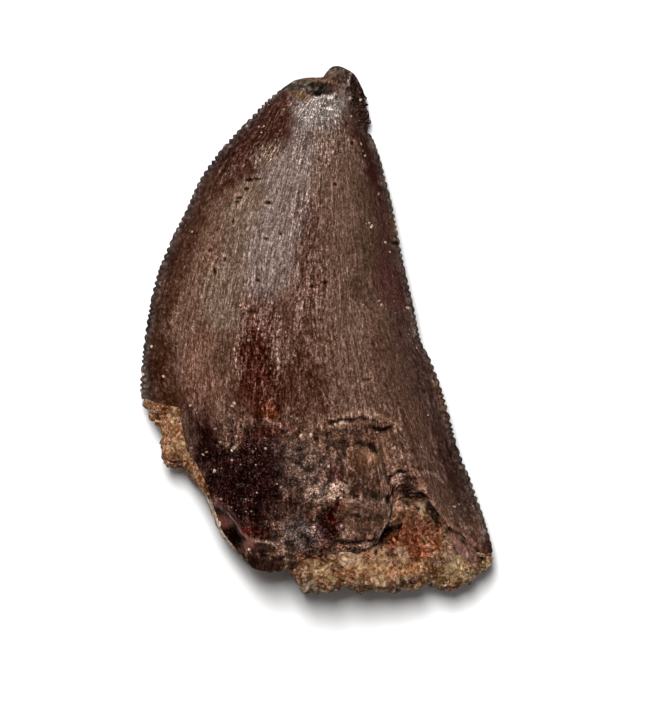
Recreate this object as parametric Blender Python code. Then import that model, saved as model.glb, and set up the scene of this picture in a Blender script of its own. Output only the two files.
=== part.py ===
"""A fossil theropod tooth, lying on its lingual face with its tip towards +Y.

It has two pieces. The crown is a recurved blade with a serrated edge on each side, a chipped
tip and a base that broke off at a slant, which leaves its pulp cavity open. The sandstone fills
that cavity and shows past the broken edge.

Both are lofts. A ring of the loft runs across the labial (upper) face from the mesial to the
distal edge and back across the lingual (lower) face. All sizes here are in millimetres.
"""

import math

import bmesh
import bpy
import numpy as np

MM = 0.001

# Outlines seen from above. Each list runs from the tip towards the base, or from mesial to distal.
MESIAL_EDGE = [
    (-1.33, 15.10), (-2.80, 14.06), (-4.20, 12.60), (-5.70, 10.97), (-7.03, 9.09), (-7.90, 7.15),
    (-8.75, 5.45), (-9.65, 3.21), (-10.15, 1.00), (-10.50, -1.40), (-10.67, -3.50), (-10.55, -4.30),
]
DISTAL_EDGE = [
    (2.55, 15.15), (2.95, 14.30), (3.33, 12.75), (3.10, 11.95), (3.94, 10.18), (4.55, 7.88),
    (4.97, 5.82), (5.45, 3.39), (5.90, 1.50), (6.36, -0.70), (7.09, -2.20), (7.94, -4.67),
    (8.61, -7.21), (9.39, -9.20), (10.12, -11.30), (10.67, -13.20), (10.61, -13.72),
]
TIP_EDGE = [(-1.33, 15.10), (-0.50, 15.26), (0.30, 15.32), (0.75, 15.75), (1.20, 15.94), (1.90, 15.84), (2.55, 15.15)]

# Where the edges would have gone on towards the root. These shape the cross-section only.
LOST_MESIAL_EDGE = [(-10.55, -4.30), (-10.40, -8.00), (-10.20, -16.50)]
LOST_DISTAL_EDGE = [(10.61, -13.72), (11.00, -16.50)]

# The broken edge of the crown on the labial face, each point with the point of the sandstone's
# outline that lies beyond it.
BROKEN_EDGE = [
    ((-10.55, -4.30), (-10.10, -4.95)),
    ((-9.94, -4.48), (-9.95, -5.20)),
    ((-9.09, -4.61), (-9.72, -5.70)),
    ((-8.30, -4.73), (-9.45, -6.42)),
    ((-8.12, -5.58), (-9.21, -7.21)),
    ((-8.00, -6.67), (-9.05, -8.10)),
    ((-7.52, -7.52), (-8.24, -8.48)),
    ((-7.03, -8.36), (-7.64, -8.73)),
    ((-6.79, -9.33), (-7.09, -9.52)),
    ((-6.48, -10.42), (-6.79, -10.61)),
    ((-5.82, -11.88), (-6.12, -11.97)),
    ((-4.97, -13.15), (-5.27, -13.20)),
    ((-4.24, -13.88), (-4.42, -13.94)),
    ((-3.58, -14.48), (-3.64, -14.56)),
    ((-2.67, -14.55), (-2.67, -14.64)),
    ((-1.76, -14.42), (-1.60, -14.70)),
    ((-1.33, -14.18), (-1.15, -15.21)),
    ((-0.97, -13.88), (-0.60, -15.88)),
    ((0.12, -13.58), (0.30, -15.76)),
    ((1.45, -13.39), (1.45, -15.58)),
    ((2.67, -13.58), (2.55, -15.70)),
    ((3.52, -13.21), (3.39, -15.82)),
    ((4.24, -12.36), (4.24, -15.88)),
    ((4.55, -11.27), (4.85, -15.84)),
    ((4.97, -10.30), (5.45, -15.76)),
    ((5.70, -9.82), (6.06, -15.70)),
    ((6.55, -9.94), (6.73, -15.64)),
    ((7.15, -10.67), (7.33, -15.70)),
    ((7.88, -11.64), (8.00, -15.64)),
    ((8.61, -12.48), (8.79, -15.39)),
    ((9.33, -13.33), (9.58, -15.09)),
    ((10.00, -13.96), (10.25, -14.72)),
    ((10.61, -13.72), (10.50, -14.42)),
]

# Thickness. Each face swells from the tip towards the base and then stays nearly level.
TIP_Y = 15.94
LABIAL_AT_TIP, LABIAL_SWELL, LABIAL_REACH = 0.90, 4.00, 8.0
LINGUAL_AT_TIP, LINGUAL_SWELL, LINGUAL_REACH = 0.70, 3.10, 9.0
CREST_SKEW = 0.80
SECTION_FLATNESS, SECTION_SHOULDER = 2.5, 0.96

# The tip bends down, so the tooth rests on its tip and on the flattest part of its lingual face.
ARCH_HEIGHT, ARCH_LENGTH = 0.50, 19.0
RESTING_FLAT = 0.14

# Denticles.
MESIAL_DENTICLES, DISTAL_DENTICLES = 56, 70
DENTICLE_DEPTH, DENTICLE_REACH = 0.18, 0.60

# The open base.
CAVITY_SHARE = 0.72
CAVITY_END_INSET = 0.06
CAVITY_FLOOR = [(-8.3, -3.9), (-6.4, -5.9), (-4.4, -9.6), (0.6, -11.2), (4.4, -8.2), (7.4, -8.9), (9.2, -11.6)]
CROWN_CENTRE = (2.0, -2.0)
LINGUAL_BREAK_SETBACK = 0.9
GAP = 0.32
THINNEST = 0.12

# The sandstone.
PLUG_END_INSET = 0.06
PLUG_DEPTH = 0.75
OUTWARD_BULGE = 0.9
SANDSTONE_SHARE, SANDSTONE_EDGE_SHARE = 0.90, 0.10
LUMP_SIZE, LUMP_HEIGHT = 1.4, 0.42
LUMP_SEED = 11

# Scoops out of a face: centre x, y, half length, half width, turn of its length from +X in degrees, depth.
LABIAL_SCOOPS = {
    "spall at the tip": (-0.45, 15.05, 1.75, 0.95, -6, 1.00),
    "distal facet of the tip": (3.05, 13.90, 1.90, 0.75, 98, 0.65),
    "flaked patch above the break": (2.30, -8.60, 3.10, 2.90, 20, 0.32),
    "hollow above the arched break": (5.40, -9.20, 1.60, 1.20, -30, 0.40),
    "chip along the slanting break": (-5.35, -12.40, 2.60, 0.85, -57, 0.95),
    "chip at the distal corner": (9.10, -13.20, 1.50, 0.60, -40, 0.45),
}
LINGUAL_SCOOPS = {
    "chip at the tip": (0.90, 15.40, 1.30, 0.90, 10, 0.55),
    "chip along the mesial break": (-7.40, -7.20, 2.20, 0.90, -60, 0.60),
    "flake beside the distal edge": (6.90, -7.50, 2.40, 0.90, -68, 0.35),
}
MIDLINE_FLUTE = (-2.90, -8.50, 9.50, 2.40, 88, 0.40)

# Density of the lofts, and the share of it that the finished solids keep.
CROWN_ROWS, CROWN_COLUMNS = 280, 44
SANDSTONE_ROWS, SANDSTONE_COLUMNS = 26, 90
CROWN_KEEP, SANDSTONE_KEEP = 0.13, 0.24

CROWN_COLOUR, CROWN_ROUGHNESS = (0.085, 0.045, 0.032, 1.0), 0.42
SANDSTONE_COLOUR, SANDSTONE_ROUGHNESS = (0.47, 0.32, 0.17, 1.0), 0.90


def smooth_curve(points, fractions):
    """Points of a Catmull-Rom curve through the given points, at fractions of its length."""
    points = np.array(points, float)
    padded = np.vstack([2 * points[0] - points[1], points, 2 * points[-1] - points[-2]])
    t = np.linspace(0, 1, 16, endpoint=False)[:, None]
    pieces = [
        0.5 * (2 * b + (c - a) * t + (2 * a - 5 * b + 4 * c - d) * t**2 + (3 * b - a - 3 * c + d) * t**3)
        for a, b, c, d in zip(padded, padded[1:], padded[2:], padded[3:])
    ]
    fine = np.vstack([*pieces, points[-1]])
    along = np.concatenate([[0], np.cumsum(np.linalg.norm(np.diff(fine[:, :2], axis=0), axis=1))])
    along /= along[-1]
    return np.stack([np.interp(fractions, along, fine[:, k]) for k in range(points.shape[1])], axis=-1)


def fade(x, start, end):
    """0 before start, 1 after end, smooth between them."""
    t = np.clip((x - start) / (end - start), 0, 1)
    return t * t * (3 - 2 * t)


def value_noise(x, y, z, size, seed):
    """Smooth noise from -1 to 1 whose lumps are about size across."""
    lattice = np.random.default_rng(seed).uniform(-1, 1, (32, 32, 32))
    position = np.stack([x, y, z], axis=-1) / size
    cell = np.floor(position).astype(int)
    t = position - cell
    t = t * t * (3 - 2 * t)
    total = np.zeros(x.shape)
    for corner in np.ndindex(2, 2, 2):
        weight = np.prod([t[..., k] if corner[k] else 1 - t[..., k] for k in range(3)], axis=0)
        index = [(cell[..., k] + corner[k]) % 32 for k in range(3)]
        total += weight * lattice[index[0], index[1], index[2]]
    return total


def edge_x(edge, lost_edge, y):
    """The x of an edge of the blade at height y, as if the tooth were whole."""
    fractions = np.linspace(0, 1, 400)
    line = np.vstack([smooth_curve(edge, fractions), smooth_curve(lost_edge, fractions)])
    order = np.argsort(line[:, 1])
    return np.interp(y, line[order, 1], line[order, 0])


def across(x, y):
    """How far a point lies from the mesial edge, 0, to the distal edge, 1."""
    mesial = edge_x(MESIAL_EDGE, LOST_MESIAL_EDGE, y)
    distal = edge_x(DISTAL_EDGE, LOST_DISTAL_EDGE, y)
    return np.clip((x - mesial) / (distal - mesial), 0, 1)


def section(x, y):
    """The cross-section's height as a share of the crest's: 0 at the edges and 1 at the crest."""
    side = np.abs(2 * across(x, y) ** CREST_SKEW - 1)
    return (1 - np.clip(side, 0, 1) ** SECTION_FLATNESS) ** SECTION_SHOULDER


def swell(y, at_tip, growth, reach):
    """A face's height over the middle plane along the crest."""
    return at_tip + growth * (1 - np.exp(-np.clip(TIP_Y - y, 0, None) / reach))


def middle_plane(y):
    """The height of the serrated edges over the floor."""
    arch = ARCH_HEIGHT * np.sin(np.pi * np.clip((TIP_Y - y) / ARCH_LENGTH, 0, 1))
    return swell(y, LINGUAL_AT_TIP, LINGUAL_SWELL, LINGUAL_REACH) + arch - RESTING_FLAT


def scoop(x, y, centre_x, centre_y, half_length, half_width, turn, depth):
    """The depth of a shell-shaped chip at each point."""
    c, s = math.cos(math.radians(turn)), math.sin(math.radians(turn))
    along = ((x - centre_x) * c + (y - centre_y) * s) / half_length
    over = ((y - centre_y) * c - (x - centre_x) * s) / half_width
    return depth * np.clip(1 - along**2 - over**2, 0, None)


def labial_height(x, y):
    """The upper face of the whole tooth."""
    height = swell(y, LABIAL_AT_TIP, LABIAL_SWELL, LABIAL_REACH) * section(x, y)
    flute = MIDLINE_FLUTE[-1]
    return middle_plane(y) + height - flute * (scoop(x, y, *MIDLINE_FLUTE) / flute) ** 2


def lingual_height(x, y):
    """The lower face of the whole tooth, flattened where it rests."""
    height = swell(y, LINGUAL_AT_TIP, LINGUAL_SWELL, LINGUAL_REACH) * section(x, y)
    return middle_plane(y) - height


def chipped(height, middle, scoops, x, y, side):
    """A face with its chips taken out. It never crosses the middle plane."""
    for values in scoops.values():
        height = height - side * scoop(x, y, *values)
    return np.maximum(height, middle + THINNEST) if side > 0 else np.minimum(height, middle - THINNEST)


def ends_kept(height, middle, columns):
    """A face that meets the other one at the first and the last column."""
    inner = (columns > 0) & (columns < 1)
    return np.where(inner, height, middle)


def column_places(count):
    """Places from 0 to 1, closer together towards the edges."""
    even = np.linspace(0, 1, count + 1)
    return 0.5 * even + 0.5 * (0.5 - 0.5 * np.cos(np.pi * even))


def broken_edges(columns, side):
    """The crown's broken edge and the sandstone's outline beyond it, on one face."""
    pairs = np.array(BROKEN_EDGE).reshape(-1, 4)
    line = smooth_curve(pairs, columns)
    edge, outline = line[:, :2], line[:, 2:]
    if side < 0:
        away = np.sin(np.pi * columns) ** 0.5 * (0.55 + 0.45 * np.sin(3 * np.pi * columns + 0.6))
        edge = edge + towards_centre(edge) * (LINGUAL_BREAK_SETBACK * away)[:, None]
    return edge, outline


def towards_centre(points):
    """Unit steps from points of the broken edge into the crown."""
    step = np.array(CROWN_CENTRE) - points
    return step / np.linalg.norm(step, axis=1)[:, None]


def patch(rows, columns, base):
    """A net of points between the tip, the base and the two edges of the blade."""
    v, u = rows[:, None, None], columns[None, :, None]
    left, right = smooth_curve(MESIAL_EDGE, rows)[:, None], smooth_curve(DISTAL_EDGE, rows)[:, None]
    top, bottom = smooth_curve(TIP_EDGE, columns)[None], base[None]
    ends = (1 - u) * left + u * right
    sides = (1 - v) * top + v * bottom
    corners = (
        (1 - u) * (1 - v) * left[0] + u * (1 - v) * right[0] + (1 - u) * v * left[-1] + u * v * right[-1]
    )
    return ends + sides - corners


def denticle_valleys(rows, count):
    """1 in the slits between denticles, 0 on their crowns, fading out at the tip and the base."""
    valley = 1 - np.abs(np.sin(np.pi * rows * count)) ** 0.6
    return valley * fade(rows, 0.02, 0.06) * (1 - fade(rows, 0.97, 1.0))


def serrate(points, rows, edge, count, distance):
    """Points of the patch moved inwards at the slits between the denticles of one edge."""
    line = smooth_curve(edge, rows)
    step = np.gradient(line, axis=0)
    inwards = np.stack([-step[:, 1], step[:, 0]], axis=-1) / np.linalg.norm(step, axis=1)[:, None]
    if edge is DISTAL_EDGE:
        inwards = -inwards
    depth = DENTICLE_DEPTH * denticle_valleys(rows, count)[:, None] * np.exp(-((distance / DENTICLE_REACH) ** 2))
    return points + inwards[:, None] * depth[..., None]


def crown_face(rows, columns, side):
    """The net of the labial (side 1) or lingual (side -1) face of the crown, in three dimensions."""
    base, _ = broken_edges(columns, side)
    flat = patch(rows, columns, base)
    x, y = flat[..., 0], flat[..., 1]
    middle = middle_plane(y)
    if side > 0:
        height = chipped(labial_height(x, y), middle, LABIAL_SCOOPS, x, y, side)
    else:
        height = chipped(lingual_height(x, y), middle, LINGUAL_SCOOPS, x, y, side)
    height = ends_kept(height, middle, columns[None])
    width = edge_x(DISTAL_EDGE, LOST_DISTAL_EDGE, y) - edge_x(MESIAL_EDGE, LOST_MESIAL_EDGE, y)
    from_mesial = np.hypot(across(x, y) * width, height - middle)
    from_distal = np.hypot((1 - across(x, y)) * width, height - middle)
    flat = serrate(flat, rows, MESIAL_EDGE, MESIAL_DENTICLES, from_mesial)
    flat = serrate(flat, rows, DISTAL_EDGE, DISTAL_DENTICLES, from_distal)
    return np.dstack([flat, np.maximum(height, 0)])


def cavity_face(depth, columns, side, clearance):
    """One side of the pulp cavity, from its mouth (depth 0) to its floor (1), or of the plug in it."""
    inset = CAVITY_END_INSET + clearance * PLUG_END_INSET
    inner = inset + (1 - 2 * inset) * columns
    edge, _ = broken_edges(inner, side)
    floor = smooth_curve(CAVITY_FLOOR, inner)
    x, y = (edge * (1 - depth) + floor * depth).T
    middle = middle_plane(y)
    whole = labial_height(x, y) if side > 0 else lingual_height(x, y)
    half = np.maximum(CAVITY_SHARE * np.abs(whole - middle) - clearance, THINNEST)
    return np.column_stack([x, y, ends_kept(middle + side * half, middle, columns)])


def distance_to(line, x, y):
    """How far each point lies from a line of points."""
    return np.min([np.hypot(x - line_x, y - line_y) for line_x, line_y in line], axis=0)


def sandstone_face(rows, columns, side):
    """One side of the sandstone outside the crown, from the broken edge to its outline."""
    _, outline = broken_edges(columns, side)
    plug = cavity_face(0, columns, side, GAP)
    w = rows[:, None, None]
    mouth = plug[None, :, :2]
    flat = mouth * (1 - w) + outline[None] * w
    reach = np.linalg.norm(outline - mouth[0], axis=1)[None, :, None]
    flat = flat - towards_centre(mouth[0])[None] * reach * w * (1 - w) * OUTWARD_BULGE
    x, y, w = flat[..., 0], flat[..., 1], rows[:, None]
    edge, _ = broken_edges(np.linspace(0, 1, 300), side)
    opened = fade(distance_to(edge, x, y) * fade(w, 0, 0.05), GAP, GAP + 0.5)
    middle = middle_plane(y)
    whole = labial_height(x, y) if side > 0 else lingual_height(x, y)
    rounding = SANDSTONE_EDGE_SHARE + (1 - SANDSTONE_EDGE_SHARE) * np.sqrt(1 - w**4)
    share = CAVITY_SHARE + (SANDSTONE_SHARE - CAVITY_SHARE) * opened
    half = share * rounding * np.abs(whole - middle) - GAP * (1 - opened)
    half = np.maximum(half, THINNEST)
    lumps = LUMP_HEIGHT * value_noise(x, y, middle + side * half, LUMP_SIZE, LUMP_SEED) * opened
    height = ends_kept(middle + side * (half + lumps * rounding), middle, columns[None])
    flat = flat - towards_centre(mouth[0])[None] * (lumps * w**4)[..., None]
    return np.dstack([flat, np.maximum(height, 0)])


def ring(labial, lingual):
    """One closed ring of the loft: across the labial face and back across the lingual one."""
    return np.vstack([labial, lingual[-2:0:-1]])


def strip_faces(ring_start, columns):
    """The faces that close a loft at one of its ends, between the two faces of the ring."""
    size = 2 * columns
    faces = []
    for i in range(columns):
        over = [ring_start + i, ring_start + i + 1]
        under = [ring_start + (size - i - 1) % size, ring_start + (size - i) % size]
        faces.append(list(dict.fromkeys(over + under)))
    return faces


def loft(name, rings, columns, material, keep):
    """A closed solid through the rings, thinned out where it is nearly flat."""
    bm = bmesh.new()
    verts = [bm.verts.new(point * MM) for ring_points in rings for point in ring_points]
    size = 2 * columns
    faces = strip_faces(0, columns) + strip_faces((len(rings) - 1) * size, columns)
    for row in range(len(rings) - 1):
        for i in range(size):
            a, b = row * size + i, row * size + (i + 1) % size
            faces.append([a, b, b + size, a + size])
    for face in faces:
        bm.faces.new([verts[i] for i in face])
    bmesh.ops.recalc_face_normals(bm, faces=bm.faces)
    bmesh.ops.triangulate(bm, faces=bm.faces)
    mesh = bpy.data.meshes.new(name)
    bm.to_mesh(mesh)
    bm.free()
    mesh.shade_smooth()
    mesh.set_sharp_from_angle(angle=math.radians(35))
    mesh.materials.append(material)
    obj = bpy.data.objects.new(name, mesh)
    thin = obj.modifiers.new("thin_out", "DECIMATE")
    thin.ratio = keep
    return obj


def crown(material):
    rows, columns = np.linspace(0, 1, CROWN_ROWS + 1), column_places(CROWN_COLUMNS)
    labial, lingual = crown_face(rows, columns, 1), crown_face(rows, columns, -1)
    rings = [ring(over, under) for over, under in zip(labial, lingual)]
    for depth in np.linspace(0, 1, 8):
        rings.append(ring(cavity_face(depth, columns, 1, 0), cavity_face(depth, columns, -1, 0)))
    return loft("crown", rings, CROWN_COLUMNS, material, CROWN_KEEP)


def sandstone(material):
    columns = column_places(SANDSTONE_COLUMNS)
    rings = [
        ring(cavity_face(depth, columns, 1, GAP), cavity_face(depth, columns, -1, GAP))
        for depth in np.linspace(PLUG_DEPTH, 0, 6, endpoint=False)
    ]
    rows = np.sin(0.5 * np.pi * np.linspace(0, 1, SANDSTONE_ROWS + 1))
    labial, lingual = sandstone_face(rows, columns, 1), sandstone_face(rows, columns, -1)
    rings += [ring(over, under) for over, under in zip(labial, lingual)]
    return loft("sandstone", rings, SANDSTONE_COLUMNS, material, SANDSTONE_KEEP)


def material(name, colour, roughness):
    made = bpy.data.materials.new(name)
    made.use_nodes = True
    shader = made.node_tree.nodes["Principled BSDF"]
    shader.inputs["Base Color"].default_value = colour
    shader.inputs["Roughness"].default_value = roughness
    shader.inputs["Metallic"].default_value = 0.0
    return made


def main():
    for obj in list(bpy.data.objects):
        bpy.data.objects.remove(obj)
    tooth = bpy.data.collections.new("theropod_tooth")
    bpy.context.scene.collection.children.link(tooth)
    tooth.objects.link(crown(material("fossil_enamel", CROWN_COLOUR, CROWN_ROUGHNESS)))
    tooth.objects.link(sandstone(material("sandstone", SANDSTONE_COLOUR, SANDSTONE_ROUGHNESS)))


main()
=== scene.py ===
"""The looks of a fossil theropod tooth that lies on its lingual face, seen from straight above.

The crown and the sandstone in its broken base are finer copies of the solids in the frame: the same
lofts, in millimetres, with the relief, the colours and the grain that the photograph shows. Grains of
sand lie on the sandstone and cling to the crown.
"""

import math

import bmesh
import bpy
import numpy as np
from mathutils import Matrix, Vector

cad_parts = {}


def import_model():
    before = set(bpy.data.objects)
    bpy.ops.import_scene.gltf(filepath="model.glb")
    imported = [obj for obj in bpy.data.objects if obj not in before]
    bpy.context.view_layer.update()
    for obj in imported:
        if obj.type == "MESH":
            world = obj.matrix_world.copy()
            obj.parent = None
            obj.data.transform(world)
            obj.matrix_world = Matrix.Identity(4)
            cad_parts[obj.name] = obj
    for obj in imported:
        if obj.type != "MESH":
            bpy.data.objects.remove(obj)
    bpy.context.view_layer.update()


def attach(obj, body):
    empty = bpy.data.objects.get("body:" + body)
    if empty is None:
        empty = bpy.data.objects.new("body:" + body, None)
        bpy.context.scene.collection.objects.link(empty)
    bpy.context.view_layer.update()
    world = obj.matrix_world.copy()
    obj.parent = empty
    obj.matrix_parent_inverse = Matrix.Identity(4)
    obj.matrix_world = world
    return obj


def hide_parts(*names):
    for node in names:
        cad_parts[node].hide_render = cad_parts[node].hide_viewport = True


MM = 0.001

# The photograph: 665 by 702 pixels, with the frame's origin under one of them.
PHOTO_WIDTH, PHOTO_HEIGHT = 665, 702
PIXELS_PER_MM = 16.5
ORIGIN_PIXEL = (316, 328)

# Outlines seen from above. Each list runs from the tip towards the base, or from mesial to distal.
MESIAL_EDGE = [
    (-1.33, 15.10), (-2.80, 14.06), (-4.20, 12.60), (-5.70, 10.97), (-7.03, 9.09), (-7.90, 7.15),
    (-8.75, 5.45), (-9.65, 3.21), (-10.15, 1.00), (-10.50, -1.40), (-10.67, -3.50), (-10.55, -4.30),
]
DISTAL_EDGE = [
    (2.55, 15.15), (2.88, 14.45), (2.94, 14.22), (3.12, 14.04), (3.04, 13.78), (3.21, 13.56), (3.13, 13.34),
    (3.37, 12.74), (3.32, 12.40), (3.15, 12.04), (3.44, 11.58), (3.60, 11.20), (3.94, 10.18), (4.55, 7.88),
    (4.97, 5.82), (5.45, 3.39), (5.90, 1.50), (6.36, -0.70), (7.09, -2.20), (7.94, -4.67), (8.61, -7.21),
    (9.39, -9.20), (10.12, -11.30), (10.67, -13.20), (10.61, -13.72),
]
TIP_EDGE = [
    (-1.33, 15.10), (-0.55, 15.27), (0.33, 15.31), (0.53, 15.52), (0.80, 15.83), (1.05, 15.99),
    (1.45, 15.95), (1.95, 15.75), (2.30, 15.48), (2.55, 15.15),
]

# Where the edges would have gone on towards the root. These shape the cross-section only.
LOST_MESIAL_EDGE = [(-10.55, -4.30), (-10.40, -8.00), (-10.20, -16.50)]
LOST_DISTAL_EDGE = [(10.61, -13.72), (11.00, -16.50)]

# The broken edge of the crown on the labial face, each point with the point of the sandstone's
# outline that lies beyond it.
BROKEN_EDGE = [
    ((-10.55, -4.30), (-10.10, -4.95)),
    ((-9.94, -4.48), (-9.95, -5.20)),
    ((-9.09, -4.61), (-9.72, -5.70)),
    ((-8.30, -4.73), (-9.34, -6.40)),
    ((-8.12, -5.58), (-9.06, -7.15)),
    ((-8.00, -6.67), (-8.88, -7.98)),
    ((-7.52, -7.52), (-8.12, -8.34)),
    ((-7.03, -8.36), (-7.60, -8.66)),
    ((-6.65, -9.33), (-7.09, -9.52)),
    ((-6.28, -10.42), (-6.54, -10.62)),
    ((-5.75, -11.88), (-5.95, -11.98)),
    ((-4.90, -13.15), (-5.08, -13.21)),
    ((-4.24, -13.88), (-4.34, -13.94)),
    ((-3.58, -14.48), (-3.64, -14.56)),
    ((-2.67, -14.55), (-2.67, -14.64)),
    ((-1.76, -14.42), (-1.60, -14.70)),
    ((-1.33, -14.18), (-1.15, -15.21)),
    ((-0.97, -13.88), (-0.60, -15.88)),
    ((0.12, -13.58), (0.30, -15.76)),
    ((1.45, -13.39), (1.45, -15.58)),
    ((2.67, -13.46), (2.55, -15.70)),
    ((3.45, -13.05), (3.39, -15.82)),
    ((4.10, -12.25), (4.24, -15.88)),
    ((4.42, -11.30), (4.85, -15.84)),
    ((4.72, -10.40), (5.45, -15.76)),
    ((5.60, -9.90), (6.06, -15.70)),
    ((6.50, -10.00), (6.73, -15.64)),
    ((7.05, -10.70), (7.20, -15.70)),
    ((7.65, -11.60), (7.60, -15.66)),
    ((7.98, -12.50), (8.00, -15.60)),
    ((8.40, -13.35), (8.50, -15.45)),
    ((8.90, -13.95), (9.20, -15.22)),
    ((9.80, -14.08), (10.10, -14.80)),
    ((10.61, -13.72), (10.55, -14.32)),
]

# Thickness. Each face swells from the tip towards the base and then stays nearly level.
TIP_Y = 15.94
LABIAL_AT_TIP, LABIAL_SWELL, LABIAL_REACH = 0.90, 4.00, 8.0
LINGUAL_AT_TIP, LINGUAL_SWELL, LINGUAL_REACH = 0.70, 3.10, 9.0
CREST_SKEW = 0.80
SECTION_FLATNESS, SECTION_SHOULDER = 2.5, 0.96
ARCH_HEIGHT, ARCH_LENGTH = 0.50, 19.0
# How far the lingual face is worn level where the tooth rests.
RESTING_FLAT = 0.14
# The tip is rounded over its first half millimetre, of a column's mean length.
TIP_ROUNDING, TIP_BLUNTNESS = 0.55, 0.96
MEAN_LENGTH = 26

# Denticles, and the thin carina that they stand on.
MESIAL_DENTICLES, DISTAL_DENTICLES = 56, 70
DENTICLE_DEPTH, DENTICLE_REACH = 0.20, 0.42
# How far in the slits between them go, painted nearly black as shade.
SLIT_REACH = 0.38
CARINA_PINCH, CARINA_WIDTH = 0.30, 0.70

# The open base and the sandstone in it. The cavity has a share of the tooth's thickness, inside a wall.
CAVITY_SHARE, CAVITY_WALL = 0.72, 0.25
CAVITY_END_INSET = 0.06
CAVITY_FLOOR = [
    (-8.3, -3.9), (-6.4, -5.9), (-4.4, -9.6), (0.6, -11.2), (4.4, -8.2), (7.4, -8.9), (9.2, -11.6),
]
CAVITY_DEPTH = 0.5
CROWN_CENTRE = (2.0, -2.0)
LINGUAL_BREAK_SETBACK = 0.9
# The jags of the break: their heights and lengths, how soon they fade towards the tip, and the oval of
# pixels in which the break is smooth.
BREAK_LENGTH = 34
JAGS, JAG_SEED = ((0.10, 1.1), (0.10, 0.5), (0.08, 0.25)), 15
JAG_FADE = 16
SMOOTH_BREAK = (236, 532, 52, 20, -54)
THINNEST = 0.12
# How far the sandstone reaches into the wall of the cavity, in under the broken edge, and down inside.
SANDSTONE_OVERLAP, SANDSTONE_TUCK, PLUG_DEPTH = 0.06, 0.16, 0.3
# The widths of sandstone in the open, in millimetres, between which it gains its lumps and hollows.
NARROW_STONE, WIDE_STONE = 0.2, 1.2
OUTWARD_BULGE = 0.9
SANDSTONE_SHARE, SANDSTONE_EDGE_SHARE = 0.97, 0.10
LUMP_SIZE, LUMP_HEIGHT, LUMP_SEED = 1.4, 0.42, 11

# Scoops out of a face: centre x, y, half length, half width, turn of its length from +X in degrees, depth.
LABIAL_SCOOPS = {
    "spall at the tip": (-0.45, 15.05, 1.75, 0.95, -6, 1.00),
    "distal facet of the tip": (3.05, 13.90, 1.90, 0.75, 98, 0.65),
    "flaked patch above the break": (2.30, -8.60, 3.10, 2.90, 20, 0.32),
    "hollow above the arched break": (5.40, -9.20, 1.60, 1.20, -30, 0.40),
    "chip along the slanting break": (-5.35, -12.40, 2.60, 0.85, -57, 0.95),
    "chip at the distal corner": (9.10, -13.20, 1.50, 0.60, -40, 0.30),
}
LINGUAL_SCOOPS = {
    "chip at the tip": (0.90, 15.40, 1.30, 0.90, 10, 0.55),
    "chip along the mesial break": (-7.40, -7.20, 2.20, 0.90, -60, 0.60),
    "flake beside the distal edge": (6.90, -7.50, 2.40, 0.90, -68, 0.35),
}
MIDLINE_FLUTE = (-2.90, -8.50, 9.50, 2.40, 88, 0.40)

# Low ridges of the enamel: height, size across and along the grain, and seed.
ENAMEL_GRAIN = ((0.045, 2.2, 7.0, 31), (0.016, 0.50, 3.2, 32), (0.011, 0.26, 1.3, 33))
# How wide and how long the pattern of the grain is on a face, and how far apart the two faces lie in it.
GRAIN_SPAN = (19.0, 31.0, 7.0)
PIT_DEPTH, CRUMB_HEIGHT = 0.16, 0.07
# The height over the surroundings at which a painted highlight makes the labial face twice as bright,
# or painted shade half as bright below.
SHADE_HEIGHT = 0.035

# Density of the surfaces.
CROWN_ROWS, LABIAL_COLUMNS, LINGUAL_COLUMNS = 415, 172, 62
SANDSTONE_ROWS, SANDSTONE_COLUMNS = 70, 330
CAVITY_RINGS, PLUG_RINGS = 4, 3

# Marks on the labial face, by the pixels in which the photograph shows them.
# An oval is centre x, y, half length, half width and the turn of its length from the right, anticlockwise.
RAISED = {
    "rounded flake": ((364, 517, 29, 23, -10), 0.28, 0.08),
    "crystal crust": ((306, 466, 20, 30, 0), 0.08, 0.30),
    "blue-grey crust": ((306, 538, 22, 16, 10), 0.14, 0.25),
    "nodule in the notch": ((398, 478, 6, 6, 0), 0.50, 0.60),
    "nodule under it": ((397, 487, 5, 4, 0), 0.30, 0.60),
    "apex lump": ((334, 81, 15, 10, 75), 0.40, 0.50),
    "pale crust": ((322, 491, 22, 9, 10), 0.12, 0.30),
    "shelf of the scar": ((303, 80, 16, 3.5, 5), 0.20, 0.50),
}
SUNK = {
    "dark hollow": ((329, 521, 15, 15, 0), 0.35, 0.30),
    "flaked enamel": ((363, 464, 24, 24, 0), 0.12, 0.40),
    "worn enamel": ((321, 112, 17, 16, 20), 0.06, 0.45),
    "scar hollow": ((322, 88, 11, 6, 10), 0.45, 0.50),
    "chip facet": ((227, 515, 19, 7, -48), 0.22, 0.25),
    "chip hollow": ((233, 536, 15, 8, -45), 0.50, 0.40),
    "lower facet": ((260, 546, 13, 5, 0), 0.20, 0.25),
    "pink facet": ((464, 548, 24, 9, -38), 0.07, 0.15),
    "notch hollow": ((404, 484, 15, 10, -30), 0.30, 0.30),
    "slit": ((380, 427, 12, 3, 0), 0.30, 0.70),
    "red hollow": ((262, 530, 14, 7, 0), 0.14, 0.60),
    "stained hollow": ((262, 352, 18, 20, 0), 0.06, 0.80),
}
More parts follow.
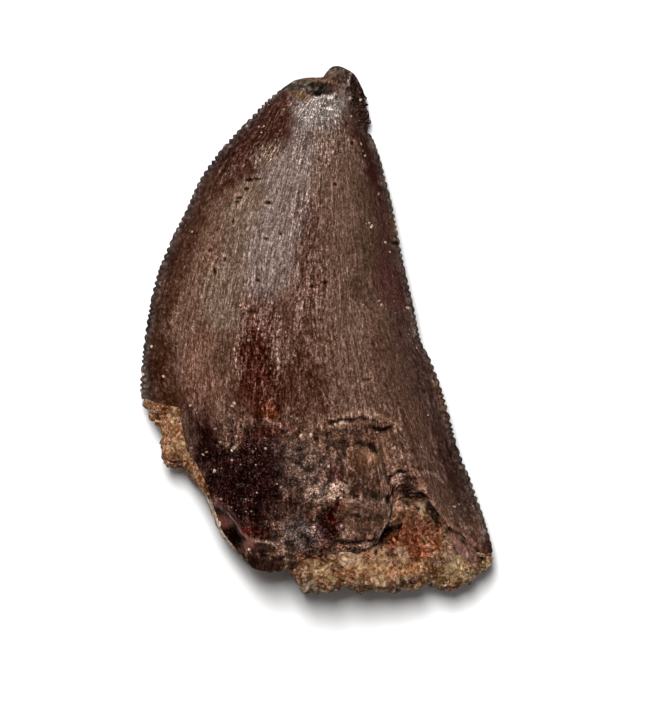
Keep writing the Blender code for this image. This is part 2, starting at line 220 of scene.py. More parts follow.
ROUGH = {
    "crystal crust": ((306, 466, 24, 34, 0), 1.0),
    "blue-grey crust": ((304, 538, 28, 20, 10), 1.2),
    "pale crust": ((325, 491, 26, 12, 10), 1.2),
    "worn enamel": ((321, 108, 19, 14, 20), 0.45),
    "broken base": ((325, 545, 50, 14, 0), 1.2),
    "black stain": ((244, 480, 55, 62, 0), 0.55),
    "apex": ((330, 82, 16, 12, 0), 0.6),
    "tip facet": ((359, 101, 33, 9, 104), 0.8),
    "under the crack": ((350, 436, 36, 12, 0), 0.7),
    "notch": ((404, 482, 20, 14, -30), 1.2),
    "flake": ((362, 515, 28, 20, 0), 0.35),
    "foot": ((348, 545, 42, 7, 0), 1.8),
    "chip hollow": ((233, 536, 15, 9, -45), 0.5),
}
# How strongly the fine pattern of the enamel shows there; 1 elsewhere.
CONTRAST = {
    "distal flank": ((380, 290, 130, 24, 102), 0.8),
    "lower distal flank": ((420, 440, 70, 24, 110), 0.85),
    "below the worn tip": ((318, 138, 30, 34, 0), 1.5),
    "worn tip": ((321, 109, 18, 13, 20), 1.6),
    "tip facet": ((359, 101, 33, 9, 104), 2.2),
    "upper mesial flank": ((262, 132, 52, 20, 49), 1.9),
    "red mottle": ((307, 300, 16, 110, 0), 1.35),
    "red stain": ((262, 360, 24, 60, 0), 1.8),
    "base": ((310, 490, 105, 78, 0), 1.35),
    "tan patch": ((368, 452, 18, 16, 0), 0.95),
    "dark hollow": ((329, 521, 17, 17, 0), 2.0),
    "red by the rim": ((262, 529, 18, 9, 0), 2.0),
    "flake": ((366, 515, 27, 21, -10), 1.15),
    "black stain": ((240, 480, 52, 38, -62), 1.6),
    "chip": ((232, 526, 30, 11, -50), 0.5),
    "lower facet": ((260, 546, 14, 5, 0), 0.6),
    "gold in the scar": ((305, 92, 12, 5, -20), 1.6),
    "pink facet": ((465, 548, 23, 9, -36), 0.6),
}
CRACKS = {
    "arched crack": ([(328, 423), (342, 419), (352, 418), (366, 419), (376, 420), (386, 422)], 1.5, 0.30),
    "slit under it": ([(369, 427), (376, 428), (384, 428), (389, 426)], 2.2, 0.34),
    "crack over the patch": ([(350, 443), (360, 441), (371, 444), (377, 449)], 1.5, 0.16),
    "knot of the patch": ([(369, 444), (374, 449)], 2.6, 0.20),
    "edge of the patch": ([(341, 446), (340, 462), (342, 478), (338, 494)], 0.9, 0.10),
    "crack round the notch": (
        [(386, 502), (391, 493), (391, 484), (390, 476), (396, 470), (405, 471)], 1.6, 0.30,
    ),
    "first cleft of the nodule": ([(394, 473), (398, 477), (395, 483)], 1.0, 0.25),
    "second cleft of the nodule": ([(400, 471), (402, 478), (399, 485)], 1.0, 0.25),
    "under the nodule": ([(392, 486), (399, 489), (407, 486), (414, 487)], 1.6, 0.25),
    "crack over the arch": ([(404, 494), (414, 492), (421, 493), (427, 497)], 2.2, 0.30),
    "distal crack": ([(427, 503), (434, 510), (441, 518), (449, 528)], 1.8, 0.22),
    "foot of the flake": ([(380, 529), (371, 536), (360, 539), (350, 540), (341, 539)], 2.0, 0.35),
    "flake's inner crack": ([(345, 513), (353, 511), (361, 514)], 1.6, 0.16),
    "corner crack": ([(444, 524), (452, 529), (461, 534), (470, 542), (478, 551)], 1.2, 0.12),
    "corner pit": ([(463, 539), (466, 543)], 2.2, 0.20),
    "crust crack": ([(287, 523), (296, 529), (306, 533), (313, 540)], 1.2, 0.14),
    "crust hole": ([(303, 534), (309, 538)], 2.4, 0.22),
    "base crack": ([(262, 552), (280, 556), (300, 552), (322, 548)], 1.5, 0.16),
    "left slit": ([(216, 269), (217, 274), (216, 279)], 1.2, 0.20),
}
RIDGES = {
    "line right of the stain": ([(278, 322), (279, 345), (279, 360), (280, 378)], 0.8, 0.02),
    "apex ridge": ([(350, 72), (348, 80), (345, 89), (342, 97)], 0.8, 0.11),
    "rim of the long chip": (
        [(212, 499), (220, 504), (228, 510), (236, 520), (244, 530), (251, 538), (262, 540), (272, 539)],
        0.9, 0.055,
    ),
    "rim of the flake": (
        [(345, 500), (356, 498), (370, 500), (382, 503), (388, 510), (388, 519), (384, 526), (376, 533)],
        1.0, 0.07,
    ),
    "rim of the tongue": ([(267, 419), (274, 422), (281, 425), (290, 430), (297, 436)], 0.9, 0.07),
    "left rim of the flake": ([(343, 516), (344, 526), (345, 538)], 0.8, 0.05),
    "upper rim of the worn tip": (
        [(302, 111), (306, 105), (311, 100), (321, 98), (329, 95), (337, 94)], 0.8, 0.06,
    ),
    "arc above the corner": ([(420, 475), (427, 471), (435, 474), (443, 481)], 0.8, 0.05),
}
PITS = [
    (250, 181, 3.5, 1.8), (258, 180, 3.0, 1.2), (247, 190, 2.6, 1.8), (240, 199, 3.2, 1.6),
    (238, 203, 2.2, 1.4), (269, 204, 3.4, 2.0), (211, 251, 2.2, 1.6), (267, 240, 1.8, 1.4),
    (281, 235, 1.4, 1.4), (259, 281, 2.4, 1.6), (335, 185, 1.8, 1.5), (328, 405, 1.8, 1.4),
    (372, 343, 1.6, 1.6), (234, 222, 1.2, 2.4), (226, 260, 1.4, 2.0), (366, 379, 3.4, 1.5),
    (312, 287, 2.2, 1.8), (325, 283, 3.2, 2.2), (252, 312, 4.0, 2.0), (285, 430, 3.0, 2.0),
    (352, 143, 1.4, 2.2), (300, 448, 2.6, 2.0), (395, 243, 3.0, 2.0),
]

# Colours are sRGB values from 0 to 255.
ENAMEL = (93, 68, 56)
# A band is a line of pixels, half its width, its softness, its strength and its colour.
BANDS = {
    "brown flank": ([(232, 150), (205, 225), (186, 290), (172, 340)], 19, 0.6, 0.9, (101, 74, 60)),
    "grey film": ([(268, 165), (242, 225), (230, 285), (222, 320)], 18, 0.7, 0.8, (107, 88, 75)),
    # The sheen is partly painted highlight and partly a real greyish film on the enamel.
    "sheen": ([(322, 112), (304, 150), (286, 200), (276, 250), (268, 272)], 25, 0.6, 0.9, (119, 102, 95)),
    "mesial margin": (
        [(282, 96), (232, 152), (196, 212), (176, 262), (162, 310), (152, 352)], 14, 0.7, 0.9, (67, 38, 25),
    ),
    "red mottle": ([(314, 225), (311, 262)], 15, 0.7, 0.8, (82, 57, 49)),
    "lower red mottle": ([(306, 290), (300, 330), (306, 378)], 19, 0.7, 0.7, (82, 56, 46)),
    "distal flank": (
        [(338, 130), (340, 190), (345, 250), (350, 350), (356, 405)], 22, 0.7, 0.8, (99, 75, 63),
    ),
    "shaded flank": ([(366, 175), (371, 215), (369, 250), (366, 290)], 14, 0.7, 0.8, (74, 53, 42)),
    "distal margin": ([(360, 110), (376, 165), (391, 220), (397, 290)], 15, 0.7, 0.9, (66, 41, 34)),
    "lower distal margin": (
        [(404, 320), (417, 370), (436, 425), (452, 470), (464, 505)], 16, 0.7, 0.9, (62, 43, 37),
    ),
    "lower distal flank": ([(388, 345), (410, 410), (424, 452), (440, 486)], 17, 0.7, 0.8, (80, 56, 46)),
    "lower mesial flank": ([(196, 350), (200, 385), (203, 402)], 20, 0.7, 0.8, (106, 75, 62)),
    "lower mesial margin": ([(160, 350), (162, 375), (172, 398)], 17, 0.7, 0.85, (58, 28, 14)),
}
# A stain is an oval, its softness, its strength and its colour.
STAINS = {
    "worn tip": ((321, 111, 20, 16, 20), 0.9, 0.9, (127, 116, 110)),
    "shelf of the scar": ((304, 83, 20, 6, 2), 0.4, 0.9, (72, 62, 51)),
    "scar shadow": ((321, 88, 12, 6, 8), 0.4, 0.95, (26, 20, 16)),
    "glint in the scar": ((313, 84, 4, 2, 30), 0.8, 0.7, (120, 114, 106)),
    "gold in the scar": ((302, 92, 12, 4, -20), 0.7, 0.85, (112, 84, 54)),
    "maroon below the facet": ((367, 158, 36, 8, 110), 0.6, 0.85, (50, 22, 16)),
    "apex": ((334, 80, 15, 10, 75), 0.5, 0.85, (70, 50, 40)),
    "foot of the apex": ((342, 92, 7, 7, 0), 0.8, 0.7, (100, 82, 76)),
    "upper maroon": ((250, 140, 62, 24, 49), 0.7, 0.95, (53, 26, 17)),
    "upper red": ((282, 100, 22, 8, 40), 0.7, 0.7, (62, 28, 18)),
    "maroon patch": ((391, 288, 34, 13, 105), 0.6, 0.8, (75, 46, 40)),
    "dark knot": ((309, 140, 8, 7, 0), 0.6, 0.6, (74, 54, 48)),
    "upper stain": ((262, 322, 20, 24, 0), 0.6, 0.7, (76, 49, 41)),
    "below the film": ((228, 352, 14, 22, 0), 0.7, 0.85, (78, 54, 42)),
    "red stain": ((261, 358, 20, 30, 0), 0.5, 0.9, (54, 20, 13)),
    "red stain, lower": ((260, 392, 30, 26, 0), 0.6, 0.9, (56, 22, 13)),
    "mottle": ((300, 388, 26, 38, 0), 0.6, 0.8, (64, 37, 27)),
    "light mottle": ((300, 308, 14, 16, 0), 0.7, 0.7, (106, 80, 68)),
    "dark flank": ((213, 430, 26, 18, -50), 0.8, 0.7, (64, 38, 29)),
    "dark margin": ((192, 430, 22, 10, -70), 0.9, 0.6, (62, 42, 36)),
    "black stain": ((235, 482, 62, 42, -62), 0.6, 0.97, (20, 3, 3)),
    "black stain, right": ((268, 456, 24, 34, 0), 0.8, 0.92, (26, 7, 6)),
    "black stain, lower": ((260, 500, 38, 32, 0), 0.6, 0.96, (22, 6, 5)),
    "red cloud": ((256, 432, 20, 12, 0), 0.9, 0.6, (48, 18, 14)),
    "orange patch": ((268, 413, 6, 8, 20), 0.7, 0.85, (88, 42, 22)),
    "tongue under the orange": ((283, 428, 15, 7, -25), 0.4, 0.85, (82, 46, 37)),
    "crystal crust": ((304, 463, 20, 32, 0), 0.8, 0.8, (62, 46, 40)),
    "under the crack": ((354, 433, 36, 10, 0), 0.6, 0.85, (58, 37, 28)),
    "tan patch": ((366, 455, 18, 12, -20), 0.6, 0.7, (96, 68, 50)),
    "flaked patch": ((357, 478, 24, 18, 0), 0.6, 0.7, (73, 49, 37)),
    "plum patch": ((334, 470, 10, 8, 0), 0.5, 0.8, (66, 38, 34)),
    "pale crust": ((325, 490, 18, 8, 10), 0.8, 0.85, (124, 100, 86)),
    "brown crust": ((300, 503, 26, 12, 0), 0.6, 0.7, (52, 30, 24)),
    "dark hollow": ((331, 521, 18, 17, 0), 0.4, 0.95, (66, 11, 5)),
    "flake": ((366, 515, 27, 21, -10), 0.15, 0.9, (60, 41, 32)),
    "blue-grey crust": ((304, 534, 22, 17, 0), 0.8, 0.85, (53, 44, 42)),
    "red by the rim": ((262, 529, 16, 8, 0), 0.5, 0.9, (60, 19, 13)),
    "chip facet": ((230, 512, 20, 9, -50), 0.5, 0.95, (78, 47, 42)),
    "chip hollow": ((239, 539, 17, 10, -45), 0.5, 0.95, (23, 4, 4)),
    "lower facet": ((260, 546, 14, 6, 0), 0.4, 0.9, (90, 58, 52)),
    "dark foot": ((266, 561, 34, 10, -4), 0.5, 0.95, (22, 8, 6)),
    "foot of the crust": ((335, 546, 44, 7, 0), 0.8, 0.85, (50, 28, 20)),
    "notch": ((404, 484, 14, 11, -20), 0.6, 0.8, (80, 54, 40)),
    # Painted shadow below the nodule, under the enamel's edge.
    "below the nodule": ((404, 490, 12, 4, -15), 0.5, 0.85, (34, 17, 12)),
    "nodule": ((398, 478, 5, 6, 0), 0.3, 0.8, (122, 92, 80)),
    "dark distal margin": ((450, 462, 38, 13, 112), 0.6, 0.8, (50, 30, 24)),
    "lower corner": ((474, 525, 24, 13, -60), 0.6, 0.8, (82, 56, 46)),
    "pink facet": ((463, 549, 23, 9, -40), 0.25, 0.95, (132, 96, 89)),
}
# Stains that lie over the darker margins.
MARGIN_STAINS = {
    "tip facet": ((359, 101, 33, 9, 104), 0.35, 0.96, (32, 17, 12)),
    "grey rim of the apex": ((334, 70, 10, 4, 15), 0.6, 0.7, (84, 74, 64)),
    "orange denticles": ((393, 226, 10, 4, 110), 0.9, 0.5, (100, 70, 46)),
    "lower orange denticles": ((445, 405, 28, 3, 115), 0.9, 0.5, (100, 62, 40)),
    "corner tip": ((487, 548, 6, 14, 0), 0.5, 0.8, (56, 28, 23)),
}
MARGIN_COLOUR = (76, 63, 56)
# Painted highlights on some of the denticles.
LIT_DENTICLE_COLOUR = (122, 107, 98)
# Painted shade in the slits between the denticles.
SLIT_SHADE_COLOUR = (20, 12, 10)
# Painted shade in cracks and pits, and painted shadow in the gaps beside the sandstone.
CRACK_SHADE_COLOUR = (16, 6, 4)
# Painted highlight along the ridges.
RIDGE_HIGHLIGHT = (186, 166, 154)
CRUSTED_BREAK, CRUST_COLOUR = (335, 552, 62, 16, 0), (112, 70, 42)
FLECK_COLOUR = (128, 104, 90)
CAVITY_COLOUR = (84, 60, 50)
LINGUAL_CLOUDS, LINGUAL_STAIN = (118, 99, 88), (40, 17, 13)

# Colours of the sandstone, placed in the same ways, and its hollows with their depths.
SANDSTONE = (122, 86, 58)
SANDSTONE_HOLLOWS = {
    "gap under the arch": ((414, 496, 12, 5, -8), 0.9),
    "gap along the distal break": ((433, 512, 11, 4.5, -44), 0.9),
    "gap beside the flake": ((382, 533, 13, 5, 42), 1.3),
    "gap above the corner": ((452, 531, 9, 3, -30), 0.5),
    "low ground": ((405, 545, 26, 20, 0), 0.5),
}
SANDSTONE_STAINS = {
    "mesial strip": ((182, 448, 56, 18, -62), 0.5, 0.9, (154, 99, 61)),
    "mesial rust": ((158, 412, 10, 8, 0), 0.6, 0.8, (112, 58, 30)),
    "tan over the arch": ((406, 508, 22, 18, 0), 0.6, 0.9, (110, 72, 46)),
    "rust": ((410, 538, 34, 18, 0), 0.7, 0.97, (126, 57, 17)),
    "bright rust": ((428, 545, 16, 10, 0), 0.6, 0.8, (134, 68, 28)),
    "rust line": ((322, 555, 42, 4, 4), 0.8, 0.9, (104, 52, 22)),
    "cream spot": ((350, 556, 15, 8, 0), 0.5, 0.95, (194, 158, 126)),
    "orange spot": ((376, 552, 14, 8, 0), 0.7, 0.8, (150, 92, 58)),
    "cream fleck": ((401, 551, 7, 11, 0), 0.6, 0.9, (178, 142, 112)),
    "cream by the corner": ((452, 550, 9, 14, 20), 0.6, 0.8, (172, 138, 110)),
    "peach band": ((384, 569, 42, 8, 0), 0.6, 0.8, (164, 106, 64)),
    "cream band": ((322, 572, 28, 10, 0), 0.8, 0.8, (116, 78, 47)),
    "green-tan band": ((446, 573, 34, 9, 12), 0.8, 0.8, (138, 104, 60)),
    "pale corner": ((478, 566, 16, 5, 30), 0.6, 0.7, (98, 74, 54)),
    "brown bits": ((404, 581, 14, 5, 10), 0.6, 0.9, (78, 44, 36)),
}
# Painted shadow in the gaps between it and the crown, with how dark it is.
GAP_SHADOWS = {
    "beside the flake": ((386, 530, 15, 5, 52), 0.95),
    "along the distal break": ((431, 508, 18, 4, -48), 0.9),
    "under the arch": ((413, 496, 15, 3.5, -6), 0.85),
    "above the corner": ((452, 531, 9, 2.5, -34), 0.8),
    "brown under the arch": ((404, 504, 7, 5, 30), 0.5),
    "brown in the rust": ((392, 548, 8, 4, 20), 0.4),
}
# Colours that it has near the top only.
RIM_STAINS = {
    "glassy nodule": ((308, 584, 9, 8, 0), 0.5, 0.9, (172, 150, 124)),
    "pale strip": ((217, 518, 36, 10, -62), 0.4, 0.95, (212, 196, 184)),
    "dark foot": ((256, 563, 26, 10, -30), 0.5, 0.95, (44, 22, 16)),
}
# Patches all over it: size, seed, where their noise starts and ends, strength, how much of it the plain
# oval lacks, and colour.
PLAIN_STONE = (409, 522, 36, 36, 0)
PATCHES = {
    "cream": (0.9, 62, 0.10, 0.50, 0.50, 0.9, (200, 166, 122)),
    "green-tan": (1.1, 72, 0.25, 0.70, 0.40, 0.9, (122, 92, 56)),
    "rust": (1.0, 82, 0.15, 0.60, 0.50, 0.0, (98, 46, 22)),
    "dark": (0.5, 92, 0.55, 0.85, 0.75, 0.0, (42, 24, 17)),
    "pale flecks": (0.34, 102, 0.50, 0.90, 0.45, 0.0, (216, 184, 146)),
    "dark flecks": (0.30, 112, 0.50, 0.90, 0.50, 0.0, (64, 34, 22)),
}
PORE_COLOUR = (36, 20, 14)
# Colours of the loose grains of sand, with their shares.
GRAIN_COLOURS = [
    ((196, 172, 146), 5), ((172, 132, 98), 5), ((150, 104, 68), 4), ((206, 196, 182), 3),
    ((118, 66, 38), 3), ((92, 52, 36), 2), ((128, 110, 74), 2), ((58, 36, 30), 1),
]
GRAIN_COUNT, GRAIN_RADII, GRAIN_OWN_COLOUR = 1300, (0.05, 0.15), 0.2
GRAIN_SHAPES = 12
# White grains that cling to the crown: pixel x, y and radius in pixels.
CLINGING_GRAINS = [
    (301, 160, 2.0), (259, 127, 1.6), (264, 127, 1.3), (262, 133, 1.2), (350, 98, 2.2), (360, 99, 1.6),
    (351, 116, 1.2), (348, 126, 1.5), (337, 136, 1.2), (361, 144, 1.6), (365, 156, 1.5), (363, 151, 1.2),
    (378, 194, 1.8), (371, 227, 2.4), (369, 224, 1.5), (366, 224, 1.2), (385, 243, 1.5), (390, 252, 1.3),
    (349, 264, 1.3), (288, 224, 1.1), (362, 306, 2.0), (378, 301, 1.9), (381, 305, 1.7), (372, 306, 1.4),
    (394, 301, 1.3), (407, 308, 2.2), (395, 313, 1.3), (409, 334, 1.3), (416, 348, 1.3), (272, 282, 1.2),
    (168, 291, 1.2), (193, 232, 1.5), (182, 222, 1.6), (195, 322, 1.6), (152, 347, 2.2), (187, 345, 1.4),
    (143, 374, 2.2), (144, 368, 1.6), (165, 376, 1.9), (245, 321, 2.0), (249, 340, 1.8), (271, 369, 1.7),
    (297, 356, 1.2), (192, 405, 1.6), (236, 402, 2.3), (233, 405, 1.6), (217, 428, 1.7), (298, 418, 2.2),
    (292, 416, 1.6), (302, 434, 2.2), (310, 434, 2.2), (269, 421, 1.8), (236, 447, 2.6), (234, 449, 2.0),
    (265, 447, 1.4), (242, 463, 1.1), (256, 463, 1.3), (216, 469, 2.0), (205, 453, 1.8), (208, 451, 1.5),
    (192, 447, 1.6), (232, 459, 1.6), (230, 434, 1.2), (222, 441, 1.5), (340, 423, 3.0), (336, 424, 2.2),
    (334, 497, 2.4), (342, 497, 2.0), (283, 485, 1.6), (259, 491, 1.3), (246, 497, 1.3), (222, 497, 1.5),
    (278, 482, 1.4), (305, 463, 1.3), (328, 465, 1.8), (322, 463, 1.4), (308, 496, 1.4), (252, 509, 1.3),
    (233, 505, 1.1), (376, 432, 1.2), (398, 475, 2.6), (397, 481, 1.6), (388, 473, 1.5), (421, 447, 1.2),
    (427, 415, 1.1), (453, 506, 1.6), (452, 517, 1.2), (459, 504, 1.2), (250, 547, 1.8), (313, 455, 1.2),
    (309, 457, 1.2), (272, 408, 1.1), (255, 450, 1.3), (253, 452, 1.1), (258, 447, 1.0), (296, 540, 1.2),
    (279, 545, 1.5), (345, 528, 1.4),
]
CLINGING_COLOUR = (220, 190, 168)
# Finer dust: how many grains, and in pixels their middle, their spread and their radii.
DUST_COUNT, DUST_CENTRE, DUST_SPREAD, DUST_RADII = 130, (262, 470), (40, 42), (0.3, 0.9)
# Grains of this radius in pixels are the brightest. One that lies further than this many millimetres from
# every point of the crown is left out.
BRIGHTEST_RADIUS, FARTHEST_GRAIN = 3, 0.15

# The camera's distance in metres from the level, in millimetres, at which it frames the photograph.
CAMERA_DISTANCE = 0.40
FOCUS_HEIGHT = 3.0
SENSOR = 36.0
# Lights: place, width and length in metres, power, and whether they give highlights.
LIGHTS = {
    "key light": ((-0.020, 0.077, 0.375), 0.06, 0.11, 1.70, False),
    "sheen light": ((-0.08, 0.14, 0.33), 0.12, 0.12, 0.13, True),
    "fill light": ((0.22, -0.10, 0.30), 0.30, 0.30, 0.07, False),
}
SKY_STRENGTH = 0.06
FLOOR_SIZE, FLOOR_WHITE = 1.6, 0.95


def frame_point(px, py):
    """The place in millimetres that a pixel of the photograph shows."""
    return (px - ORIGIN_PIXEL[0]) / PIXELS_PER_MM, (ORIGIN_PIXEL[1] - py) / PIXELS_PER_MM


def photo_pixel(x, y):
    """The pixel of the photograph that shows a place in millimetres."""
    return ORIGIN_PIXEL[0] + PIXELS_PER_MM * x, ORIGIN_PIXEL[1] - PIXELS_PER_MM * y


def linear(colour):
    """An sRGB colour as linear light."""
    share = np.array(colour, float) / 255
    return np.where(share <= 0.04045, share / 12.92, ((share + 0.055) / 1.055) ** 2.4)


def smooth_curve(points, fractions):
    """Points of a Catmull-Rom curve through the given points, at fractions of its length."""
    points = np.array(points, float)
    padded = np.vstack([2 * points[0] - points[1], points, 2 * points[-1] - points[-2]])
    t = np.linspace(0, 1, 16, endpoint=False)[:, None]
    pieces = [
        0.5 * (2 * b + (c - a) * t + (2 * a - 5 * b + 4 * c - d) * t**2 + (3 * b - a - 3 * c + d) * t**3)
        for a, b, c, d in zip(padded, padded[1:], padded[2:], padded[3:])
    ]
    fine = np.vstack([*pieces, points[-1]])
    along = np.concatenate([[0], np.cumsum(np.linalg.norm(np.diff(fine[:, :2], axis=0), axis=1))])
    along /= along[-1]
    return np.stack([np.interp(fractions, along, fine[:, k]) for k in range(points.shape[1])], axis=-1)


def fade(x, start, end):
    """0 before start, 1 after end, smooth between them."""
    t = np.clip((x - start) / (end - start), 0, 1)
    return t * t * (3 - 2 * t)


def value_noise(x, y, z, size, seed):
    """Smooth noise from -1 to 1 whose lumps are about size across."""
    cells = 32
    lattice = np.random.default_rng(seed).uniform(-1, 1, (cells, cells, cells))
    position = np.stack([x, y, z], axis=-1) / size
    cell = np.floor(position).astype(int)
    t = position - cell
    t = t * t * (3 - 2 * t)
    total = np.zeros(x.shape)
    for corner in np.ndindex(2, 2, 2):
        weight = np.ones(x.shape)
        for k in range(3):
            weight = weight * (t[..., k] if corner[k] else 1 - t[..., k])
        index = [(cell[..., k] + corner[k]) % cells for k in range(3)]
        total += weight * lattice[index[0], index[1], index[2]]
    return total


def flat_noise(x, y, size, seed):
    """The same noise on a plane."""
    return value_noise(x, y, np.zeros(x.shape), size, seed)


def edge_x(edge, lost_edge, y):
    """The x of an edge of the blade at height y, as if the tooth were whole."""
    fractions = np.linspace(0, 1, 400)
    line = np.vstack([smooth_curve(edge, fractions), smooth_curve(lost_edge, fractions)])
    order = np.argsort(line[:, 1])
    return np.interp(y, line[order, 1], line[order, 0])


def across_and_width(x, y):
    """How far a point lies from the mesial edge, 0, to the distal edge, 1, and the width there."""
    mesial = edge_x(MESIAL_EDGE, LOST_MESIAL_EDGE, y)
    width = edge_x(DISTAL_EDGE, LOST_DISTAL_EDGE, y) - mesial
    return np.clip((x - mesial) / width, 0, 1), width


def section(x, y):
    """The cross-section's height as a share of the crest's: 0 at the edges and 1 at the crest."""
    side = np.abs(2 * across_and_width(x, y)[0] ** CREST_SKEW - 1)
    return (1 - np.clip(side, 0, 1) ** SECTION_FLATNESS) ** SECTION_SHOULDER


def swell(y, at_tip, growth, reach):
    """A face's height over the middle plane along the crest."""
    return at_tip + growth * (1 - np.exp(-np.clip(TIP_Y - y, 0, None) / reach))


def middle_plane(y):
    """The height of the serrated edges over the floor."""
    arch = ARCH_HEIGHT * np.sin(np.pi * np.clip((TIP_Y - y) / ARCH_LENGTH, 0, 1))
    return swell(y, LINGUAL_AT_TIP, LINGUAL_SWELL, LINGUAL_REACH) + arch - RESTING_FLAT


def scoop(x, y, centre_x, centre_y, half_length, half_width, turn, depth):
    """The depth of a shell-shaped chip at each point."""
    c, s = math.cos(math.radians(turn)), math.sin(math.radians(turn))
    along = ((x - centre_x) * c + (y - centre_y) * s) / half_length
    over = ((y - centre_y) * c - (x - centre_x) * s) / half_width
    return depth * np.clip(1 - along**2 - over**2, 0, None)


def whole_height(x, y, side):
    """The labial (side 1) or the lingual (side -1) face of the whole tooth."""
    if side < 0:
        return middle_plane(y) - swell(y, LINGUAL_AT_TIP, LINGUAL_SWELL, LINGUAL_REACH) * section(x, y)
    flute = MIDLINE_FLUTE[-1]
    height = swell(y, LABIAL_AT_TIP, LABIAL_SWELL, LABIAL_REACH) * section(x, y)
    return middle_plane(y) + height - flute * (scoop(x, y, *MIDLINE_FLUTE) / flute) ** 2


def chipped(height, middle, x, y, side):
    """A face with its chips taken out. It never crosses the middle plane."""
    for values in (LABIAL_SCOOPS if side > 0 else LINGUAL_SCOOPS).values():
        height = height - side * scoop(x, y, *values)
    return np.maximum(height, middle + THINNEST) if side > 0 else np.minimum(height, middle - THINNEST)


def ends_kept(height, middle, columns):
    """A face that meets the other one at the first and the last column."""
    inner = (columns > 0) & (columns < 1)
    return np.where(inner, height, middle)


def column_places(count):
    """Places from 0 to 1, closer together towards the edges."""
    even = np.linspace(0, 1, count + 1)
    return 0.6 * even + 0.4 * (0.5 - 0.5 * np.cos(np.pi * even))


def towards_centre(points):
    """Unit steps from points of the broken edge into the crown."""
    step = np.array(CROWN_CENTRE) - points
    return step / np.linalg.norm(step, axis=1)[:, None]


def broken_edges(columns, side, jagged=1.0):
    """The crown's broken edge and the sandstone's outline beyond it, on one face."""
    line = smooth_curve(np.array(BROKEN_EDGE).reshape(-1, 4), columns)
    smooth = oval(*photo_pixel(line[:, 0], line[:, 1]), SMOOTH_BREAK, 0.3)
    strength = jagged * np.clip(np.sin(np.pi * columns) * 12, 0, 1) * (1 - 0.8 * smooth)
    along, still = columns * BREAK_LENGTH, np.zeros(len(columns))
    jags = [
        strength * sum(size * value_noise(along, still + k, still, step, JAG_SEED + k) for size, step in JAGS)
        for k in range(4)
    ]
    jags = np.stack(jags, axis=-1)
    edge, outline = line[:, :2] + jags[:, :2], line[:, 2:]
    wide = fade(np.linalg.norm(outline - line[:, :2], axis=1), 0.2, 1.0)[:, None]
    outline = outline + jags[:, :2] * (1 - wide) + jags[:, 2:] * wide
    if side < 0:
        away = np.sin(np.pi * columns) ** 0.5 * (0.55 + 0.45 * np.sin(3 * np.pi * columns + 0.6))
        edge = edge + towards_centre(edge) * (LINGUAL_BREAK_SETBACK * away)[:, None]
    return edge, outline


def patch(rows, columns, base):
    """A net of points between the tip, the base and the two edges of the blade."""
    v, u = rows[:, None, None], columns[None, :, None]
    left, right = smooth_curve(MESIAL_EDGE, rows)[:, None], smooth_curve(DISTAL_EDGE, rows)[:, None]
    top, bottom = smooth_curve(TIP_EDGE, columns)[None], base[None]
    ends = (1 - u) * left + u * right
    sides = (1 - v) * top + v * bottom
    corners = (
        (1 - u) * (1 - v) * left[0] + u * (1 - v) * right[0] + (1 - u) * v * left[-1] + u * v * right[-1]
    )
    return ends + sides - corners


def denticle_valleys(rows, count):
    """1 in the slits between denticles, 0 on their crowns, fading out at the tip and the base."""
    still = np.zeros(rows.shape)
    place = rows * count + 0.55 * flat_noise(rows * count, still, 2.3, count + 1)
    worn = 0.60 + 0.40 * flat_noise(place, still, 1.7, count)
    valley = worn * (1 - np.abs(np.sin(np.pi * place)))
    return valley * fade(rows, 0.02, 0.06) * (1 - fade(rows, 0.97, 1.0))


def serrate(points, rows, edge, valleys, distance):
    """Points of the patch moved inwards at the slits between the denticles of one edge."""
    step = np.gradient(smooth_curve(edge, rows), axis=0)
    inwards = np.stack([-step[:, 1], step[:, 0]], axis=-1) / np.linalg.norm(step, axis=1)[:, None]
    if edge is DISTAL_EDGE:
        inwards = -inwards
    depth = DENTICLE_DEPTH * valleys[:, None] * np.exp(-((distance / DENTICLE_REACH) ** 2))
    return points + inwards[:, None] * depth[..., None]


def crown_face(rows, columns, side):
    """The net of one face of the crown, and how deep each point lies in a slit between denticles."""
    even_base, _ = broken_edges(columns, side, jagged=0.0)
    base, _ = broken_edges(columns, side)
    flat = patch(rows, columns, even_base) + (base - even_base)[None] * (rows**JAG_FADE)[:, None, None]
    x, y = flat[..., 0], flat[..., 1]
    middle = middle_plane(y)
    across, width = across_and_width(x, y)
    from_mesial, from_distal = across * width, (1 - across) * width
    height = chipped(whole_height(x, y, side), middle, x, y, side)
    rounded = 1 - TIP_BLUNTNESS * (1 - np.clip(rows[:, None] * MEAN_LENGTH / TIP_ROUNDING, 0, 1)) ** 2
    pinch = 1 - CARINA_PINCH * np.exp(-((np.minimum(from_mesial, from_distal) / CARINA_WIDTH) ** 2))
    height = ends_kept(middle + (height - middle) * pinch * np.sqrt(rounded), middle, columns[None])
    slits = np.zeros(x.shape)
    for edge, count, distance in (
        (MESIAL_EDGE, MESIAL_DENTICLES, from_mesial),
        (DISTAL_EDGE, DISTAL_DENTICLES, from_distal),
    ):
        valleys = denticle_valleys(rows, count)
        flat = serrate(flat, rows, edge, valleys, distance)
        slits = np.maximum(slits, valleys[:, None] * np.exp(-((distance / SLIT_REACH) ** 2)))
    return np.dstack([flat, np.maximum(height, 0)]), slits


def cavity_face(depth, columns, side, clearance):
    """One side of the pulp cavity, from its mouth (depth 0) to its floor (1), or of the plug in it."""
    inner = CAVITY_END_INSET + (1 - 2 * CAVITY_END_INSET) * columns
    edge, _ = broken_edges(inner, side)
    x, y = (edge * (1 - depth) + smooth_curve(CAVITY_FLOOR, inner) * depth).T
    middle = middle_plane(y)
    whole = whole_height(x, y, side)
    left = np.abs(chipped(whole, middle, x, y, side) - middle) - CAVITY_WALL
    if side > 0:
        left = left - sunk_depth(x, y)
    half = np.minimum(CAVITY_SHARE * np.abs(whole - middle), left) - clearance
    height = middle + side * np.maximum(half, THINNEST / 6)
    return np.column_stack([x, y, ends_kept(height, middle, columns)])


